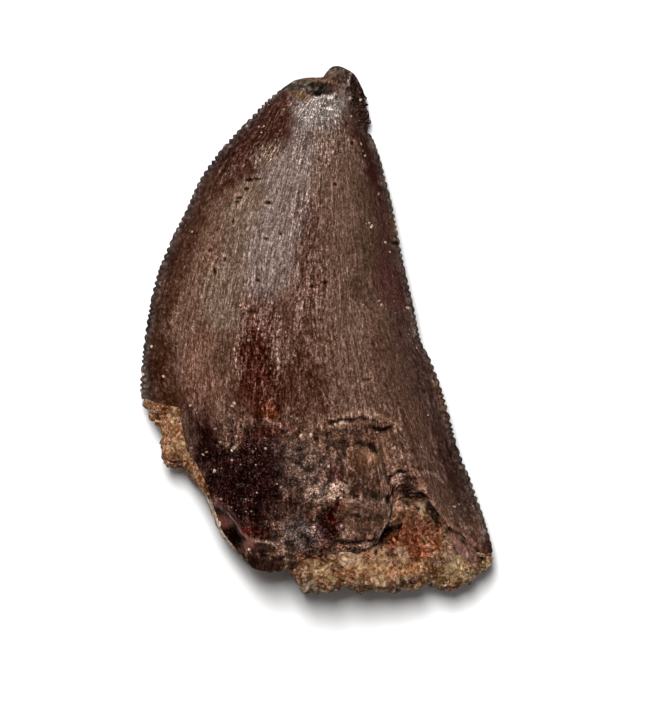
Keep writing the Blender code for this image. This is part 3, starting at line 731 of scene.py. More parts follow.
def distance_to(line, x, y):
    """How far each point lies from a line of points."""
    best = np.full(np.shape(x), np.inf)
    for (ax, ay), (bx, by) in zip(line, line[1:]):
        length = max((bx - ax) ** 2 + (by - ay) ** 2, 1e-12)
        t = np.clip(((x - ax) * (bx - ax) + (y - ay) * (by - ay)) / length, 0, 1)
        best = np.minimum(best, np.hypot(x - ax - t * (bx - ax), y - ay - t * (by - ay)))
    return best


def sandstone_face(rows, columns, side):
    """One side of the sandstone outside the crown, from just inside the broken edge to its outline."""
    edge, outline = broken_edges(columns, side)
    inwards = towards_centre(edge)
    reach = np.linalg.norm(outline - edge, axis=1)[None, :, None]
    wide = fade(reach[..., 0], NARROW_STONE, WIDE_STONE)
    w = rows[:, None, None]
    flat = (edge + inwards * SANDSTONE_TUCK)[None] * (1 - w) + outline[None] * w
    flat = flat - inwards[None] * reach * w * (1 - w) * OUTWARD_BULGE
    x, y, w = flat[..., 0], flat[..., 1], rows[:, None]
    middle = middle_plane(y)
    half = np.abs(chipped(whole_height(x, y, side), middle, x, y, side) - middle)
    from_edge = distance_to(broken_edges(np.linspace(0, 1, 120), side)[0], x, y)
    opened = fade(from_edge, 0.0, 0.5) * (0.15 + 0.85 * wide)
    if side > 0:
        px, py = photo_pixel(x, y)
        sunk = sum(depth * oval(px, py, mark, 0.4) for mark, depth in SANDSTONE_HOLLOWS.values())
        half = half - sunk_depth(x, y) - sunk * fade(w, 0.0, 0.03)
    rounding = SANDSTONE_EDGE_SHARE + (1 - SANDSTONE_EDGE_SHARE) * np.sqrt(1 - w**4)
    half = np.maximum(SANDSTONE_SHARE * rounding * half - 0.04, THINNEST / 4)
    lumps = LUMP_HEIGHT * value_noise(x, y, middle + side * half, LUMP_SIZE, LUMP_SEED)
    lumps *= 0.15 + 0.85 * opened
    height = ends_kept(middle + side * (half + lumps * rounding), middle, columns[None])
    recess = np.clip(value_noise(x, y, height, 1.7, 12) + 0.5 * value_noise(x, y, height, 0.8, 13), 0, 1)
    recess *= (0.15 + 0.55 * wide) * fade(1 - rounding, 0.1, 0.6)
    flat = flat + inwards[None] * ((recess - lumps * opened) * w**4)[..., None]
    return np.dstack([flat, np.maximum(height, 0)])


def sunk_depth(x, y):
    """How deep the marks of the labial face go at each point."""
    px, py = photo_pixel(x, y)
    return sum(depth * oval(px, py, mark, softness) for mark, depth, softness in SUNK.values())


def oval(px, py, mark, softness, torn=0.0):
    """1 inside an oval mark and 0 outside it, with a rim that is softness of its size wide on each side."""
    centre_x, centre_y, half_length, half_width, turn = mark
    c, s = math.cos(math.radians(turn)), math.sin(math.radians(turn))
    right, up = px - centre_x, centre_y - py
    reach = np.hypot((right * c + up * s) / half_length, (up * c - right * s) / half_width)
    return 1 - fade(reach + torn, 1 - softness, 1 + softness)


def band(px, py, line, half_width, softness, torn=0.0):
    """1 along a line of pixels and 0 away from it."""
    return 1 - fade(distance_to(line, px, py) / half_width + torn, 1 - softness, 1 + softness)


def near_line(px, py, line, half_width):
    """1 on a line of pixels, falling away on both sides of it."""
    return np.exp(-((distance_to(line, px, py) / half_width) ** 2))


def torn_edges(px, py, seed):
    """What frays the rims of marks: noise drawn out along the crown, down to a pixel or two."""
    sizes = ((13, 0.26), (6, 0.22), (2.6, 0.20))
    return sum(share * flat_noise(px, py / 1.7, size, seed) for size, share in sizes)


def shifted(px, py, steps, seed):
    """Pixels moved every way by noise of the given sizes, each with how far it moves them."""
    for size, shift in steps:
        px = px + shift * flat_noise(px, py, size, seed)
        py = py + shift * flat_noise(px, py, size, seed + 1)
    return px, py


def ragged(px, py, seed):
    """Pixels shifted a little every way, so that the marks placed on them have ragged outlines."""
    return shifted(px, py, ((26, 6), (9, 3), (3.5, 1.3)), seed)


def frayed(px, py):
    """Pixels shifted so that lines drawn on them waver, and how wide the lines are there."""
    opening = np.clip(0.8 + 0.6 * flat_noise(px, py, 6, 5), 0.4, 1.2)
    return *shifted(px, py, ((9, 1.6), (4, 1.3), (2.2, 0.8)), 3), opening


def averaged(values, reach):
    """Each value of a net replaced by the mean of its surroundings."""
    for axis in (0, 1):
        wide = np.pad(values, [(reach, reach) if k == axis else (0, 0) for k in (0, 1)], mode="edge")
        count = values.shape[axis]
        values = sum(np.take(wide, range(k, k + count), axis) for k in range(2 * reach + 1))
        values = values / (2 * reach + 1)
    return values


def labial_relief(x, y):
    """How far the marks of the labial face stand up, in millimetres, and how rough it is."""
    px, py = photo_pixel(x, y)
    near_x, near_y, opening = frayed(px, py)
    torn = 0.6 * torn_edges(px, py, 79)
    relief, rough = np.zeros(x.shape), np.zeros(x.shape)
    for mark, amount in ROUGH.values():
        rough = np.maximum(rough, amount * oval(near_x, near_y, mark, 0.35))
    for marks, way in ((RAISED, 1), (SUNK, -1)):
        for mark, height, softness in marks.values():
            relief += way * height * oval(near_x, near_y, mark, softness, torn)
    for line, half_width, depth in CRACKS.values():
        relief -= depth * near_line(near_x, near_y, line, half_width * opening)
    for line, half_width, height in RIDGES.values():
        relief += height * near_line(near_x, near_y, line, half_width)
    for pit in PITS:
        relief -= PIT_DEPTH * oval(px, py, (*pit, 0), 0.6)
    crumbs = flat_noise(x, y, 0.42, 21) + 0.7 * flat_noise(x, y, 0.22, 22)
    ledges = fade(flat_noise(x, y, 0.8, 23), -0.05, 0.12) + fade(flat_noise(x, y, 0.5, 24), 0.1, 0.25)
    return relief + rough * CRUMB_HEIGHT * (crumbs + ledges), rough


def grain_relief(grain):
    """Low lengthwise ridges of the enamel and the soft unevenness under them."""
    u, v, still = grain[..., 0], grain[..., 1], np.full(grain.shape[:-1], 0.5)
    return sum(
        height * value_noise(u / across, v / along, still, 1, seed)
        for height, across, along, seed in ENAMEL_GRAIN
    )


def labial_contrast(x, y):
    """How strongly the fine pattern shows on the labial face."""
    px, py = photo_pixel(x, y)
    torn = torn_edges(px, py, 77)
    contrast = np.ones(x.shape)
    for mark, value in CONTRAST.values():
        contrast += (value - contrast) * oval(px, py, mark, 0.35, torn)
    return contrast


def lingual_relief(x, y, grain):
    """The relief and the roughness of the hidden face: worn patches and pits that are guessed."""
    still = np.full(x.shape, 9.0)
    patches = fade(value_noise(x, y, still, 4.5, 41), 0.25, 0.6)
    pits = fade(value_noise(x, y, still, 0.8, 42), 0.62, 0.85)
    crumbs = value_noise(x, y, still, 0.42, 43)
    rough = patches * 0.8
    return grain_relief(grain) - 0.08 * patches - 0.10 * pits + 0.05 * rough * crumbs, rough


def grain_of(rows, columns, side):
    """Places along the enamel's grain: across and along the crown, in millimetres, and its side."""
    along, across = np.meshgrid(rows, columns, indexing="ij")
    wide, long, apart = GRAIN_SPAN
    return np.dstack([across * wide, along * long, np.full(across.shape, side * apart)])


def tinted(tint, colour, share):
    """The tint mixed with a colour, by a share for each point."""
    return tint + (linear(colour) - tint) * share[..., None]


def stained(tint, stains, px, py, softening=1.0, torn=0.0, share=1.0):
    """The tint under a table of stains."""
    for mark, softness, strength, colour in stains.values():
        tint = tinted(tint, colour, share * strength * oval(px, py, mark, softening * softness, torn))
    return tint


def labial_tint(x, y, slits, relief, edge):
    """The labial face's colour before its fine grain, with painted shade in dips and painted highlight on
    rises.
    """
    px, py = photo_pixel(x, y)
    wild_x, wild_y = ragged(px, py, 71)
    near_x, near_y, opening = frayed(px, py)
    torn = torn_edges(px, py, 75)
    tint = np.broadcast_to(linear(ENAMEL), (*x.shape, 3))
    for line, half_width, softness, strength, colour in BANDS.values():
        tint = tinted(tint, colour, strength * band(wild_x, wild_y, line, half_width, 0.7 * softness, torn))
    tint = stained(tint, STAINS, wild_x, wild_y, 0.6, torn)
    tint = stained(margin_tint(tint, x, y, slits), MARGIN_STAINS, px, py, 1.0, 0.5 * torn)
    crust = fade(flat_noise(x, y, 0.5, 73) + 0.5 * flat_noise(x, y, 0.25, 74), 0.0, 0.35)
    crust *= (1 - fade(distance_to(edge, x, y), 0.0, 0.55)) * oval(px, py, CRUSTED_BREAK, 0.4)
    tint = tinted(tint, CRUST_COLOUR, 0.75 * crust)
    # Painted shade in the hollows of the relief, and painted highlight on what stands up out of it.
    stops = np.clip((relief - averaged(relief, 3)) / SHADE_HEIGHT, -1.6, 0.9)
    tint = tint * 2 ** stops[..., None]
    # Painted shade in the cracks, darker the deeper they are.
    for line, half_width, depth in CRACKS.values():
        near = near_line(near_x, near_y, line, 0.9 * half_width * opening)
        tint = tinted(tint, CRACK_SHADE_COLOUR, np.clip(near * depth / 0.25, 0, 0.95))
    # Painted highlight along the ridges, stronger the higher they stand.
    for line, half_width, height in RIDGES.values():
        near = near_line(near_x, near_y, line, half_width)
        tint = tinted(tint, RIDGE_HIGHLIGHT, min(4 * height, 0.35) * near)
    # Painted shade in the pits.
    for pit in PITS:
        tint = tinted(tint, CRACK_SHADE_COLOUR, 0.85 * oval(px, py, (*pit, 0), 0.5))
    return tint


def margin_tint(tint, x, y, slits):
    """Denticles' darker grey, painted highlights on some, and painted shade, nearly black, in the slits
    between them.
    """
    across, width = across_and_width(x, y)
    near_edge = 1 - fade(np.minimum(across, 1 - across) * width, 0.2, 0.62)
    tint = tinted(tint, MARGIN_COLOUR, 0.75 * near_edge)
    # Painted highlights on some of the denticles.
    lit = fade(flat_noise(x, y, 0.35, 76), 0.0, 0.7)
    tint = tinted(tint, LIT_DENTICLE_COLOUR, 0.45 * near_edge * lit)
    # Painted shade, nearly black, in the slits.
    return tinted(tint, SLIT_SHADE_COLOUR, 0.92 * np.clip(1.3 * slits, 0, 1))


def lingual_tint(x, y, slits):
    """The colour of the hidden face: the same browns in broad clouds."""
    still = np.full(x.shape, 4.0)
    clouds = fade(value_noise(x, y, still, 5.0, 51), -0.4, 0.6)
    stain = fade(value_noise(x, y, still, 3.2, 52) - 0.05 * y, 0.3, 0.9)
    tint = np.broadcast_to(linear(ENAMEL), (*x.shape, 3))
    tint = tinted(tint, LINGUAL_CLOUDS, 0.6 * clouds)
    return margin_tint(tinted(tint, LINGUAL_STAIN, 0.75 * stain), x, y, slits)


def sandstone_tint(points):
    """The colour of each point of the sandstone: its stains, its patches and painted shadow in the gaps
    beside it.
    """
    x, y, z = points.T
    px, py = ragged(*photo_pixel(x, y), 61)
    outer = fade(z - middle_plane(y), -1.2, 0.4)
    top = fade(z - whole_height(x, y, 1) + value_noise(x, y, z, 0.8, 63), -3.2, -1.2)
    tint = np.broadcast_to(linear(SANDSTONE), (len(points), 3))
    tint = stained(tint, SANDSTONE_STAINS, px, py, share=outer)
    tint = stained(tint, RIM_STAINS, px, py, share=top)
    plain = oval(px, py, PLAIN_STONE, 0.4)
    for size, seed, start, end, strength, lacking, colour in PATCHES.values():
        noise = value_noise(x, y, z, size, seed) + 0.5 * value_noise(x, y, z, size / 2.3, seed + 1)
        noise += 0.3 * value_noise(x, y, z, size / 5, seed + 2)
        tint = tinted(tint, colour, strength * fade(noise, start, end) * (1 - lacking * plain))
    # Painted shadow in the gaps beside the crown.
    for mark, strength in GAP_SHADOWS.values():
        tint = tinted(tint, CRACK_SHADE_COLOUR, outer * strength * oval(px, py, mark, 0.5))
    return tint


def mesh_object(name, points, faces, material):
    """A smooth mesh from points in millimetres."""
    mesh = bpy.data.meshes.new(name)
    mesh.from_pydata((np.asarray(points) * MM).tolist(), [], faces)
    mesh.shade_smooth()
    mesh.materials.append(material)
    obj = bpy.data.objects.new(name, mesh)
    bpy.context.scene.collection.objects.link(obj)
    return obj


def read_points(obj, key):
    """The places or the normals of a mesh's points."""
    values = np.zeros(len(obj.data.vertices) * 3, np.float32)
    obj.data.vertices.foreach_get(key, values)
    return values.reshape(-1, 3).astype(float)


def push_out(obj, amounts):
    """Moves each point along its normal, by an amount in millimetres. Nothing goes below the floor."""
    places = read_points(obj, "co") + read_points(obj, "normal") * (np.asarray(amounts) * MM)[:, None]
    places[:, 2] = np.maximum(places[:, 2], 0)
    obj.data.vertices.foreach_set("co", places.ravel())
    obj.data.update()


def set_attribute(obj, name, kind, values):
    """Gives each point of a mesh a value that its material can read."""
    attribute = obj.data.attributes.new(name, kind, "POINT")
    values = np.asarray(values, np.float32)
    if kind == "FLOAT_COLOR":
        values = np.column_stack([values, np.ones(len(values), np.float32)])
    key = {"FLOAT": "value", "FLOAT_VECTOR": "vector", "FLOAT_COLOR": "color"}[kind]
    attribute.data.foreach_set(key, values.ravel())


def ring(over, under):
    """One closed ring of a loft: across the upper face and back across the lower one."""
    return np.concatenate([over, under[-2:0:-1]])


def end_strip(over_places, under_places):
    """Triangles between the upper and the lower side of one ring, at the places of their points."""
    last_over, last_under = len(over_places) - 1, len(under_places) - 1
    under = [0, *range(last_over + last_under - 1, last_over, -1), last_over]
    i, j, faces = 0, 0, []
    while i < last_over or j < last_under:
        if j == last_under or (i < last_over and over_places[i + 1] <= under_places[j + 1]):
            faces.append([i, i + 1, under[j]])
            i += 1
        else:
            faces.append([i, under[j + 1], under[j]])
            j += 1
    return [face for face in faces if len(set(face)) == 3]


def ring_faces(ring_count, over_places, under_places):
    """Faces between the rings of a loft, and strips that close its ends. They all point out."""
    size = len(over_places) + len(under_places) - 2
    faces = [
        [start + i, start + size + i, start + size + (i + 1) % size, start + (i + 1) % size]
        for start in range(0, (ring_count - 1) * size, size)
        for i in range(size)
    ]
    strip = end_strip(over_places, under_places)
    last = (ring_count - 1) * size
    return [*strip, *faces, *([last + i for i in reversed(face)] for face in strip)]


def crown_surface(material):
    """The crown with its relief, its colours and the places of its grain."""
    rows = np.linspace(0, 1, CROWN_ROWS + 1)
    over_columns, under_columns = column_places(LABIAL_COLUMNS), column_places(LINGUAL_COLUMNS)
    over, over_slits = crown_face(rows, over_columns, 1)
    under, under_slits = crown_face(rows, under_columns, -1)
    over_x, over_y, under_x, under_y = over[..., 0], over[..., 1], under[..., 0], under[..., 1]
    over_grain, under_grain = grain_of(rows, over_columns, 1), grain_of(rows, under_columns, -1)
    over_relief, over_rough = labial_relief(over_x, over_y)
    under_relief, under_rough = lingual_relief(under_x, under_y, under_grain)
    edge, _ = broken_edges(np.linspace(0, 1, 150), 1)
    over_tint = labial_tint(over_x, over_y, over_slits, over_relief, edge)
    under_tint = lingual_tint(under_x, under_y, under_slits)

    def kept_edge(values, columns):
        """Relief that fades out at the two edges."""
        return values * np.sqrt(np.sin(np.pi * columns))[None]

    lowest = np.minimum(over[..., 2], middle_plane(over_y) + THINNEST / 2)
    over[..., 2] = np.maximum(over[..., 2] + kept_edge(over_relief, over_columns), lowest)

    def rings_of(top, bottom):
        """The rings of two nets."""
        return [ring(a, b) for a, b in zip(top, bottom)]

    rings = rings_of(over, under)
    rings += [
        ring(cavity_face(depth, over_columns, 1, 0), cavity_face(depth, under_columns, -1, 0))
        for depth in np.linspace(0, CAVITY_DEPTH, CAVITY_RINGS)
    ]
    size = len(rings[0])
    faces = ring_faces(len(rings), over_columns, under_columns)
    obj = mesh_object("crown_surface", np.vstack(rings), faces, material)

    def all_values(top, bottom, in_cavity):
        """The values of all points, from those of the two faces and one value for the cavity."""
        shape = (CAVITY_RINGS * size, *np.shape(top)[2:])
        return np.concatenate([*rings_of(top, bottom), np.broadcast_to(in_cavity, shape)])

    fine = kept_edge(grain_relief(over_grain), over_columns)
    relief = all_values(fine, kept_edge(under_relief, under_columns), 0.0)
    # The ring of the broken edge keeps half of it, because it faces both out and into the cavity.
    relief[CROWN_ROWS * size : (CROWN_ROWS + 1) * size] *= 0.5
    push_out(obj, relief)
    contrast = all_values(labial_contrast(over_x, over_y), 1 + 0.6 * under_rough, 1.5)
    set_attribute(obj, "tint", "FLOAT_COLOR", all_values(over_tint, under_tint, linear(CAVITY_COLOUR)))
    set_attribute(obj, "rough", "FLOAT", all_values(over_rough, under_rough, 1.0))
    set_attribute(obj, "contrast", "FLOAT", contrast)
    set_attribute(obj, "grain", "FLOAT_VECTOR", all_values(over_grain, under_grain, (0.0, 0.0, 0.0)))
    return obj


def sandstone_surface(material):
    """The sandstone, with lumps down to the size of its grains, and how open each of its points lies."""
    columns = column_places(SANDSTONE_COLUMNS)
    rings = [
        ring(*(cavity_face(depth, columns, side, -SANDSTONE_OVERLAP) for side in (1, -1)))
        for depth in np.linspace(PLUG_DEPTH, 0, PLUG_RINGS, endpoint=False)
    ]
    hidden_points = len(rings) * len(rings[0])
    rows = np.sin(0.5 * np.pi * np.linspace(0, 1, SANDSTONE_ROWS + 1))
    labial, lingual = sandstone_face(rows, columns, 1), sandstone_face(rows, columns, -1)
    rings += [ring(over, under) for over, under in zip(labial, lingual)]
    points = np.vstack(rings)
    obj = mesh_object("sandstone_surface", points, ring_faces(len(rings), columns, columns), material)
    edge, outline = broken_edges(columns, 1)
    wide = 0.25 + 0.75 * fade(np.linalg.norm(outline - edge, axis=1), NARROW_STONE, WIDE_STONE)
    shown = fade(rows, 0.0, 0.05)[:, None] * ring(wide, wide)[None]
    exposed = np.concatenate([np.zeros(hidden_points), shown.ravel()])
    x, y, z = points.T
    crumbs = 0.34 * np.abs(value_noise(x, y, z, 0.70, 81)) + 0.20 * np.abs(value_noise(x, y, z, 0.34, 82))
    push_out(obj, exposed * (crumbs - 0.12 + 0.05 * value_noise(x, y, z, 0.17, 83)))
    set_attribute(obj, "tint", "FLOAT_COLOR", sandstone_tint(points))
    return obj, exposed


def grain_shape(random):
    """The points and the faces of one angular grain of radius 1."""
    bm = bmesh.new()
    bmesh.ops.create_icosphere(bm, subdivisions=2, radius=1)
    points = np.array([vert.co for vert in bm.verts])
    faces = [[vert.index for vert in face.verts] for face in bm.faces]
    bm.free()
    cuts = random.normal(size=(6, 3))
    cuts /= np.linalg.norm(cuts, axis=1)[:, None]
    for cut in cuts:
        beyond = np.clip(points @ cut - random.uniform(0.55, 0.85), 0, None)
        points = points - beyond[:, None] * cut
    return points * random.uniform(0.6, 1.3, 3), faces


def scattered_grains(name, places, radii, colours, material, seed):
    """One mesh of many grains, each half sunk in what it lies on."""
    random = np.random.default_rng(seed)
    shapes = [grain_shape(random) for _ in range(GRAIN_SHAPES)]
    points, faces, tints, start = [], [], [], 0
    for place, radius, colour in zip(places, radii, colours):
        shape, shape_faces = shapes[random.integers(len(shapes))]
        turn, _ = np.linalg.qr(random.normal(size=(3, 3)))
        turn *= np.sign(np.linalg.det(turn))
        placed = shape @ turn.T * radius + place
        placed[:, 2] = np.maximum(placed[:, 2], 0)
        points.append(placed)
        faces += [[start + i for i in face] for face in shape_faces]
        tints.append(np.tile(colour * random.uniform(0.7, 1.3), (len(placed), 1)))
        start += len(placed)
    obj = mesh_object(name, np.vstack(points), faces, material)
    set_attribute(obj, "tint", "FLOAT_COLOR", np.vstack(tints))
    return obj


def places_on(obj):
    """The points of a mesh in millimetres, and its normals."""
    return read_points(obj, "co") / MM, read_points(obj, "normal")


def sandstone_grains(surface, exposed, material):
    """Grains of sand all over the open sandstone, each between the stone's colour there and its own."""
    random = np.random.default_rng(91)
    places, normals = places_on(surface)
    chosen = random.choice(np.flatnonzero(exposed > 0.5), GRAIN_COUNT, replace=False)
    least, most = GRAIN_RADII
    radii = least + (most - least) * random.uniform(size=GRAIN_COUNT) ** 2
    palette = linear([colour for colour, share in GRAIN_COLOURS for _ in range(share)])
    own = palette[random.integers(len(palette), size=GRAIN_COUNT)]
    around = sandstone_tint(places[chosen])
    colours = around + GRAIN_OWN_COLOUR * (own - around)
    at = places[chosen] - normals[chosen] * (radii * 0.4)[:, None]
    return scattered_grains("sandstone_grains", at, radii, colours, material, 92)


def clinging_grains(surface, material):
    """White grains on the crown: those that stand out in the photograph, and fine dust over its base."""
    random = np.random.default_rng(95)
    places, normals = places_on(surface)
    upper = np.flatnonzero(normals[:, 2] > 0.2)
    marks = list(CLINGING_GRAINS)
    for _ in range(DUST_COUNT):
        px, py = random.normal(DUST_CENTRE, DUST_SPREAD)
        marks.append((px, py, random.uniform(*DUST_RADII)))
    at, radii = [], []
    for px, py, radius in marks:
        x, y = frame_point(px, py)
        gaps = np.hypot(places[upper, 0] - x, places[upper, 1] - y)
        if gaps.min() < FARTHEST_GRAIN:
            at.append(places[upper[gaps.argmin()]])
            radii.append(radius)
    radii = np.array(radii)
    shine = np.clip(radii / BRIGHTEST_RADIUS, 0.2, 1) * random.uniform(0.6, 1.1, len(at))
    colours = linear(CLINGING_COLOUR) * shine[:, None]
    return scattered_grains("clinging_grains", at, radii / PIXELS_PER_MM, colours, material, 96)


class Nodes:
    """A material's node tree, built one call a node."""

    def __init__(self, name):
        self.material = bpy.data.materials.new(name)
        self.material.use_nodes = True
        self.tree = self.material.node_tree
        self.shader = self.tree.nodes["Principled BSDF"]

    def put(self, socket, value):
        """Links a socket to an output, or sets its own value."""
        if isinstance(value, bpy.types.NodeSocket):
            self.tree.links.new(value, socket)
        else:
            socket.default_value = value

    def node(self, kind, inputs, **settings):
        """A new node's outputs."""
        made = self.tree.nodes.new(kind)
        for key, value in settings.items():
            setattr(made, key, value)
        for key, value in inputs.items():
            self.put(made.inputs[key], value)
        return made.outputs

    def attribute(self, name):
        """The outputs of a value that the mesh carries."""
        return self.node("ShaderNodeAttribute", {}, attribute_name=name)

    def millimetres(self):
        """The place in the object, in millimetres."""
        return self.scaled(self.node("ShaderNodeTexCoord", {})["Object"], 1 / MM)

    def vector(self, operation, first, second):
        """Two vectors combined."""
        return self.node("ShaderNodeVectorMath", {0: first, 1: second}, operation=operation)["Vector"]

    def scaled(self, vector, scale):
        """A vector or a colour times a number."""
        return self.node("ShaderNodeVectorMath", {0: vector, "Scale": scale}, operation="SCALE")["Vector"]

    def math(self, operation, first, second=0.0):
        """Two numbers combined."""
        return self.node("ShaderNodeMath", {0: first, 1: second}, operation=operation)["Value"]

    def add(self, first, second):
        """The sum of two numbers."""
        return self.math("ADD", first, second)

    def multiply(self, first, second):
        """The product of two numbers."""
        return self.math("MULTIPLY", first, second)

    def noise(self, vector, scale, detail=2.0, roughness=0.5):
        """Noise from 0 to 1."""
        inputs = {"Vector": vector, "Scale": scale, "Detail": detail, "Roughness": roughness}
        return self.node("ShaderNodeTexNoise", inputs)["Fac"]

    def range(self, value, from_low, from_high, to_low, to_high):
        """A value carried over from one range to another."""
        ends = {"From Min": from_low, "From Max": from_high, "To Min": to_low, "To Max": to_high}
        return self.node("ShaderNodeMapRange", {"Value": value, **ends})["Result"]

    def mix(self, share, first, second):
        """Two colours mixed."""
        inputs = {"Factor": share, "A": first, "B": second}
        return self.node("ShaderNodeMix", inputs, data_type="RGBA")["Result"]

    def lit(self, tint, stops):
        """A tint made brighter or darker by a number of stops."""
        return self.scaled(tint, self.math("POWER", 2.0, stops))

    def shaded(self, tint, stops, dark_saturation, light_saturation):
        """The same, richer where it is dark and greyer where it is light."""
        saturation = self.range(stops, -2.0, 2.0, dark_saturation, light_saturation)
        inputs = {"Saturation": saturation, "Color": self.lit(tint, stops)}
        return self.node("ShaderNodeHueSaturation", inputs)["Color"]

    def finish(self, colour, roughness, specular):
        """Gives the shader its values, and returns the material."""
        values = {"Base Color": colour, "Roughness": roughness, "Specular IOR Level": specular}
        for key, value in values.items():
            self.put(self.shader.inputs[key], value)
        return self.material

    def bump(self, height, depth, strength=1.0):
        """Lets heights show as relief of a depth in millimetres."""
        inputs = {"Strength": strength, "Distance": depth * MM, "Height": height}
        self.put(self.shader.inputs["Normal"], self.node("ShaderNodeBump", inputs)["Normal"])


def colour_value(colour):
    """An sRGB colour as a node's value."""
    return (*linear(colour), 1.0)


def enamel_material():
    """Fossil enamel: its tint broken up by short dashes and long streaks along the grain, and by specks."""
    n = Nodes("fossil_enamel_surface")
    grain, tint = n.attribute("grain")["Vector"], n.attribute("tint")
    rough, contrast = n.attribute("rough")["Fac"], n.attribute("contrast")["Fac"]
    place = n.millimetres()

    def along_grain(stretch, detail=2.0, roughness=0.5):
        """Noise with this many lumps a millimetre across the grain and along it."""
        return n.noise(n.vector("MULTIPLY", grain, stretch), 1.0, detail, roughness)

    dashes = along_grain((8.0, 2.3, 1.0), 3.0, 0.80)
    streaks = along_grain((4.2, 0.40, 1.0), 3.0, 0.65)
    thin = along_grain((1.9, 0.12, 2.0), 2.0, 0.55)
    specks = n.noise(place, 7.0, 4.0, 0.90)
    lines = n.range(n.math("ABSOLUTE", n.math("SUBTRACT", thin, 0.5)), 0.0, 0.018, 0.5, 0.0)
    broken = n.range(along_grain((1.2, 0.5, 1.0)), 0.48, 0.60, 0.0, 1.0)
    lengthwise = n.add(n.range(dashes, 0.2, 0.8, -2.5, 2.5), n.range(streaks, 0.2, 0.8, -1.3, 1.3))
    lengthwise = n.add(lengthwise, n.multiply(lines, broken))
    calm = n.math("SUBTRACT", 1.0, n.multiply(rough, 0.6))
    every_way = n.multiply(n.range(specks, 0.2, 0.8, -3.2, 3.2), n.add(0.7, n.multiply(rough, 0.5)))
    stops = n.multiply(n.add(n.multiply(lengthwise, calm), every_way), contrast)
    colour = n.shaded(tint["Color"], stops, 1.40, 0.78)
    flecks = n.range(n.noise(place, 7.5, 2.0, 0.7), 0.62, 0.68, 0.0, 0.8)
    colour = n.mix(n.multiply(flecks, n.math("MINIMUM", rough, 1.0)), colour, colour_value(FLECK_COLOUR))
    dull = n.math("MINIMUM", n.add(0.38, n.multiply(rough, 0.75)), 0.85)
    n.bump(n.add(n.multiply(dashes, 0.6), n.multiply(specks, 0.8)), 0.09)
    specular = n.range(tint["Fac"], 0.0, 0.04, 0.05, 0.22)
    return n.finish(colour, n.add(dull, n.range(dashes, 0.3, 0.7, -0.08, 0.10)), specular)


def stone_colour(n):
    """The tint of the stone with its dark pores, their fine noise, and how uneven the stone is there."""
    fine = n.noise(n.millimetres(), 5.0, 5.0, 0.8)
    tint = n.attribute("tint")
    uneven = n.range(tint["Fac"], 0.04, 0.24, 1.25, 0.6)
    pores = n.multiply(n.range(fine, 0.41, 0.35, 0.0, 0.7), uneven)
    return n.mix(pores, tint["Color"], colour_value(PORE_COLOUR)), fine, uneven


def sandstone_material():
    """Sandstone: its tint broken up into crystals of unlike shades."""
    n = Nodes("sandstone_surface_finish")
    tint, fine, uneven = stone_colour(n)
    place = n.millimetres()
    bend = n.node("ShaderNodeTexNoise", {"Vector": place, "Scale": 2.5, "Detail": 3.0})["Color"]
    bent = n.vector("ADD", place, n.scaled(bend, 0.9))
    crystals = n.node("ShaderNodeTexVoronoi", {"Vector": bent, "Scale": 3.8})["Color"]
    crystals = n.node("ShaderNodeSeparateColor", {"Color": crystals})
    stops = n.add(n.range(crystals["Red"], 0.0, 1.0, -1.1, 1.1), n.range(fine, 0.2, 0.8, -3.0, 3.0))
    colour = n.shaded(tint, n.multiply(stops, uneven), 1.20, 0.75)
    n.bump(fine, 0.20)
    return n.finish(colour, n.range(crystals["Blue"], 0.0, 1.0, 0.5, 0.95), 0.3)


def grain_material():
    """Sand grains: each its own colour, a little glassy."""
    n = Nodes("sand_grain_finish")
    tint, fine, uneven = stone_colour(n)
    colour = n.lit(tint, n.multiply(n.range(fine, 0.2, 0.8, -2.4, 2.4), uneven))
    n.bump(fine, 0.06, 0.8)
    return n.finish(colour, n.range(fine, 0.3, 0.7, 0.45, 0.75), 0.3)


def dust_material():
    """White grains that cling to the crown."""
    n = Nodes("white_grain_finish")
    fine = n.noise(n.millimetres(), 9.0, 3.0, 0.7)
    colour = n.lit(n.attribute("tint")["Color"], n.range(fine, 0.2, 0.8, -2.0, 2.0))
    return n.finish(colour, n.range(fine, 0.3, 0.7, 0.5, 0.8), 0.2)


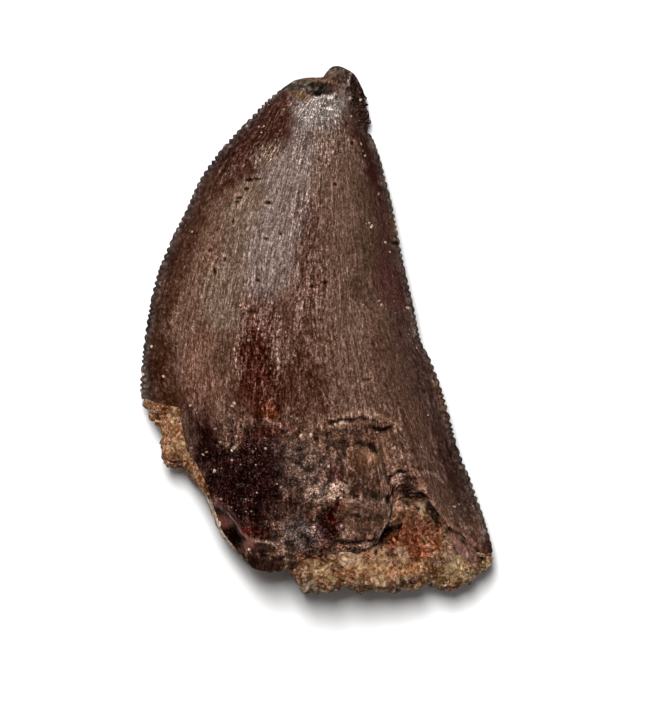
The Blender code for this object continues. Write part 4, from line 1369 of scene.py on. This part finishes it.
def white_floor():
    """A matt white floor under the tooth, which the tooth doesn't mirror."""
    bpy.ops.mesh.primitive_plane_add(size=FLOOR_SIZE, location=(0, 0, 0))
    floor = bpy.context.object
    floor.name = "floor"
    white = (FLOOR_WHITE, FLOOR_WHITE, FLOOR_WHITE, 1.0)
    floor.data.materials.append(Nodes("floor_white").finish(white, 1.0, 0.0))
    floor.visible_glossy = False


def soft_light(name, location, width, length, power, reflected):
    """A studio light that faces the tooth. One that isn't reflected gives no highlight."""
    data = bpy.data.lights.new(name, "AREA")
    data.shape = "RECTANGLE"
    data.size = width
    data.size_y = length
    data.energy = power
    light = bpy.data.objects.new(name, data)
    light.visible_glossy = reflected
    light.location = location
    light.rotation_euler = (-Vector(location)).to_track_quat("-Z", "Y").to_euler()
    bpy.context.scene.collection.objects.link(light)


def camera_from_above():
    """A long lens straight above the tooth that frames it as the photograph does."""
    data = bpy.data.cameras.new("camera")
    view_height = PHOTO_HEIGHT / PIXELS_PER_MM * MM
    data.sensor_fit = "AUTO"
    data.sensor_width = SENSOR
    data.lens = SENSOR * CAMERA_DISTANCE / view_height
    data.clip_start = 0.01
    camera = bpy.data.objects.new("camera", data)
    x, y = frame_point(PHOTO_WIDTH / 2, PHOTO_HEIGHT / 2)
    camera.location = (x * MM, y * MM, CAMERA_DISTANCE + FOCUS_HEIGHT * MM)
    bpy.context.scene.collection.objects.link(camera)
    bpy.context.scene.camera = camera


def set_up_studio():
    """The floor, the lights, a faint white sky and the camera."""
    white_floor()
    for name, values in LIGHTS.items():
        soft_light(name, *values)
    world = bpy.data.worlds.new("studio")
    bpy.context.scene.world = world
    world.use_nodes = True
    sky = world.node_tree.nodes["Background"].inputs
    sky["Color"].default_value = (1, 1, 1, 1)
    sky["Strength"].default_value = SKY_STRENGTH
    bpy.context.scene.view_settings.view_transform = "Standard"
    camera_from_above()


def main():
    """Builds the pieces in the frame, then the studio around them."""
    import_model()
    crown = crown_surface(enamel_material())
    sandstone, exposed = sandstone_surface(sandstone_material())
    sand = grain_material()
    grains = sandstone_grains(sandstone, exposed, sand)
    specks = clinging_grains(crown, dust_material())
    for piece in (crown, sandstone, grains, specks):
        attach(piece, "root")
    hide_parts("crown")
    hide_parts("sandstone")
    set_up_studio()


main()
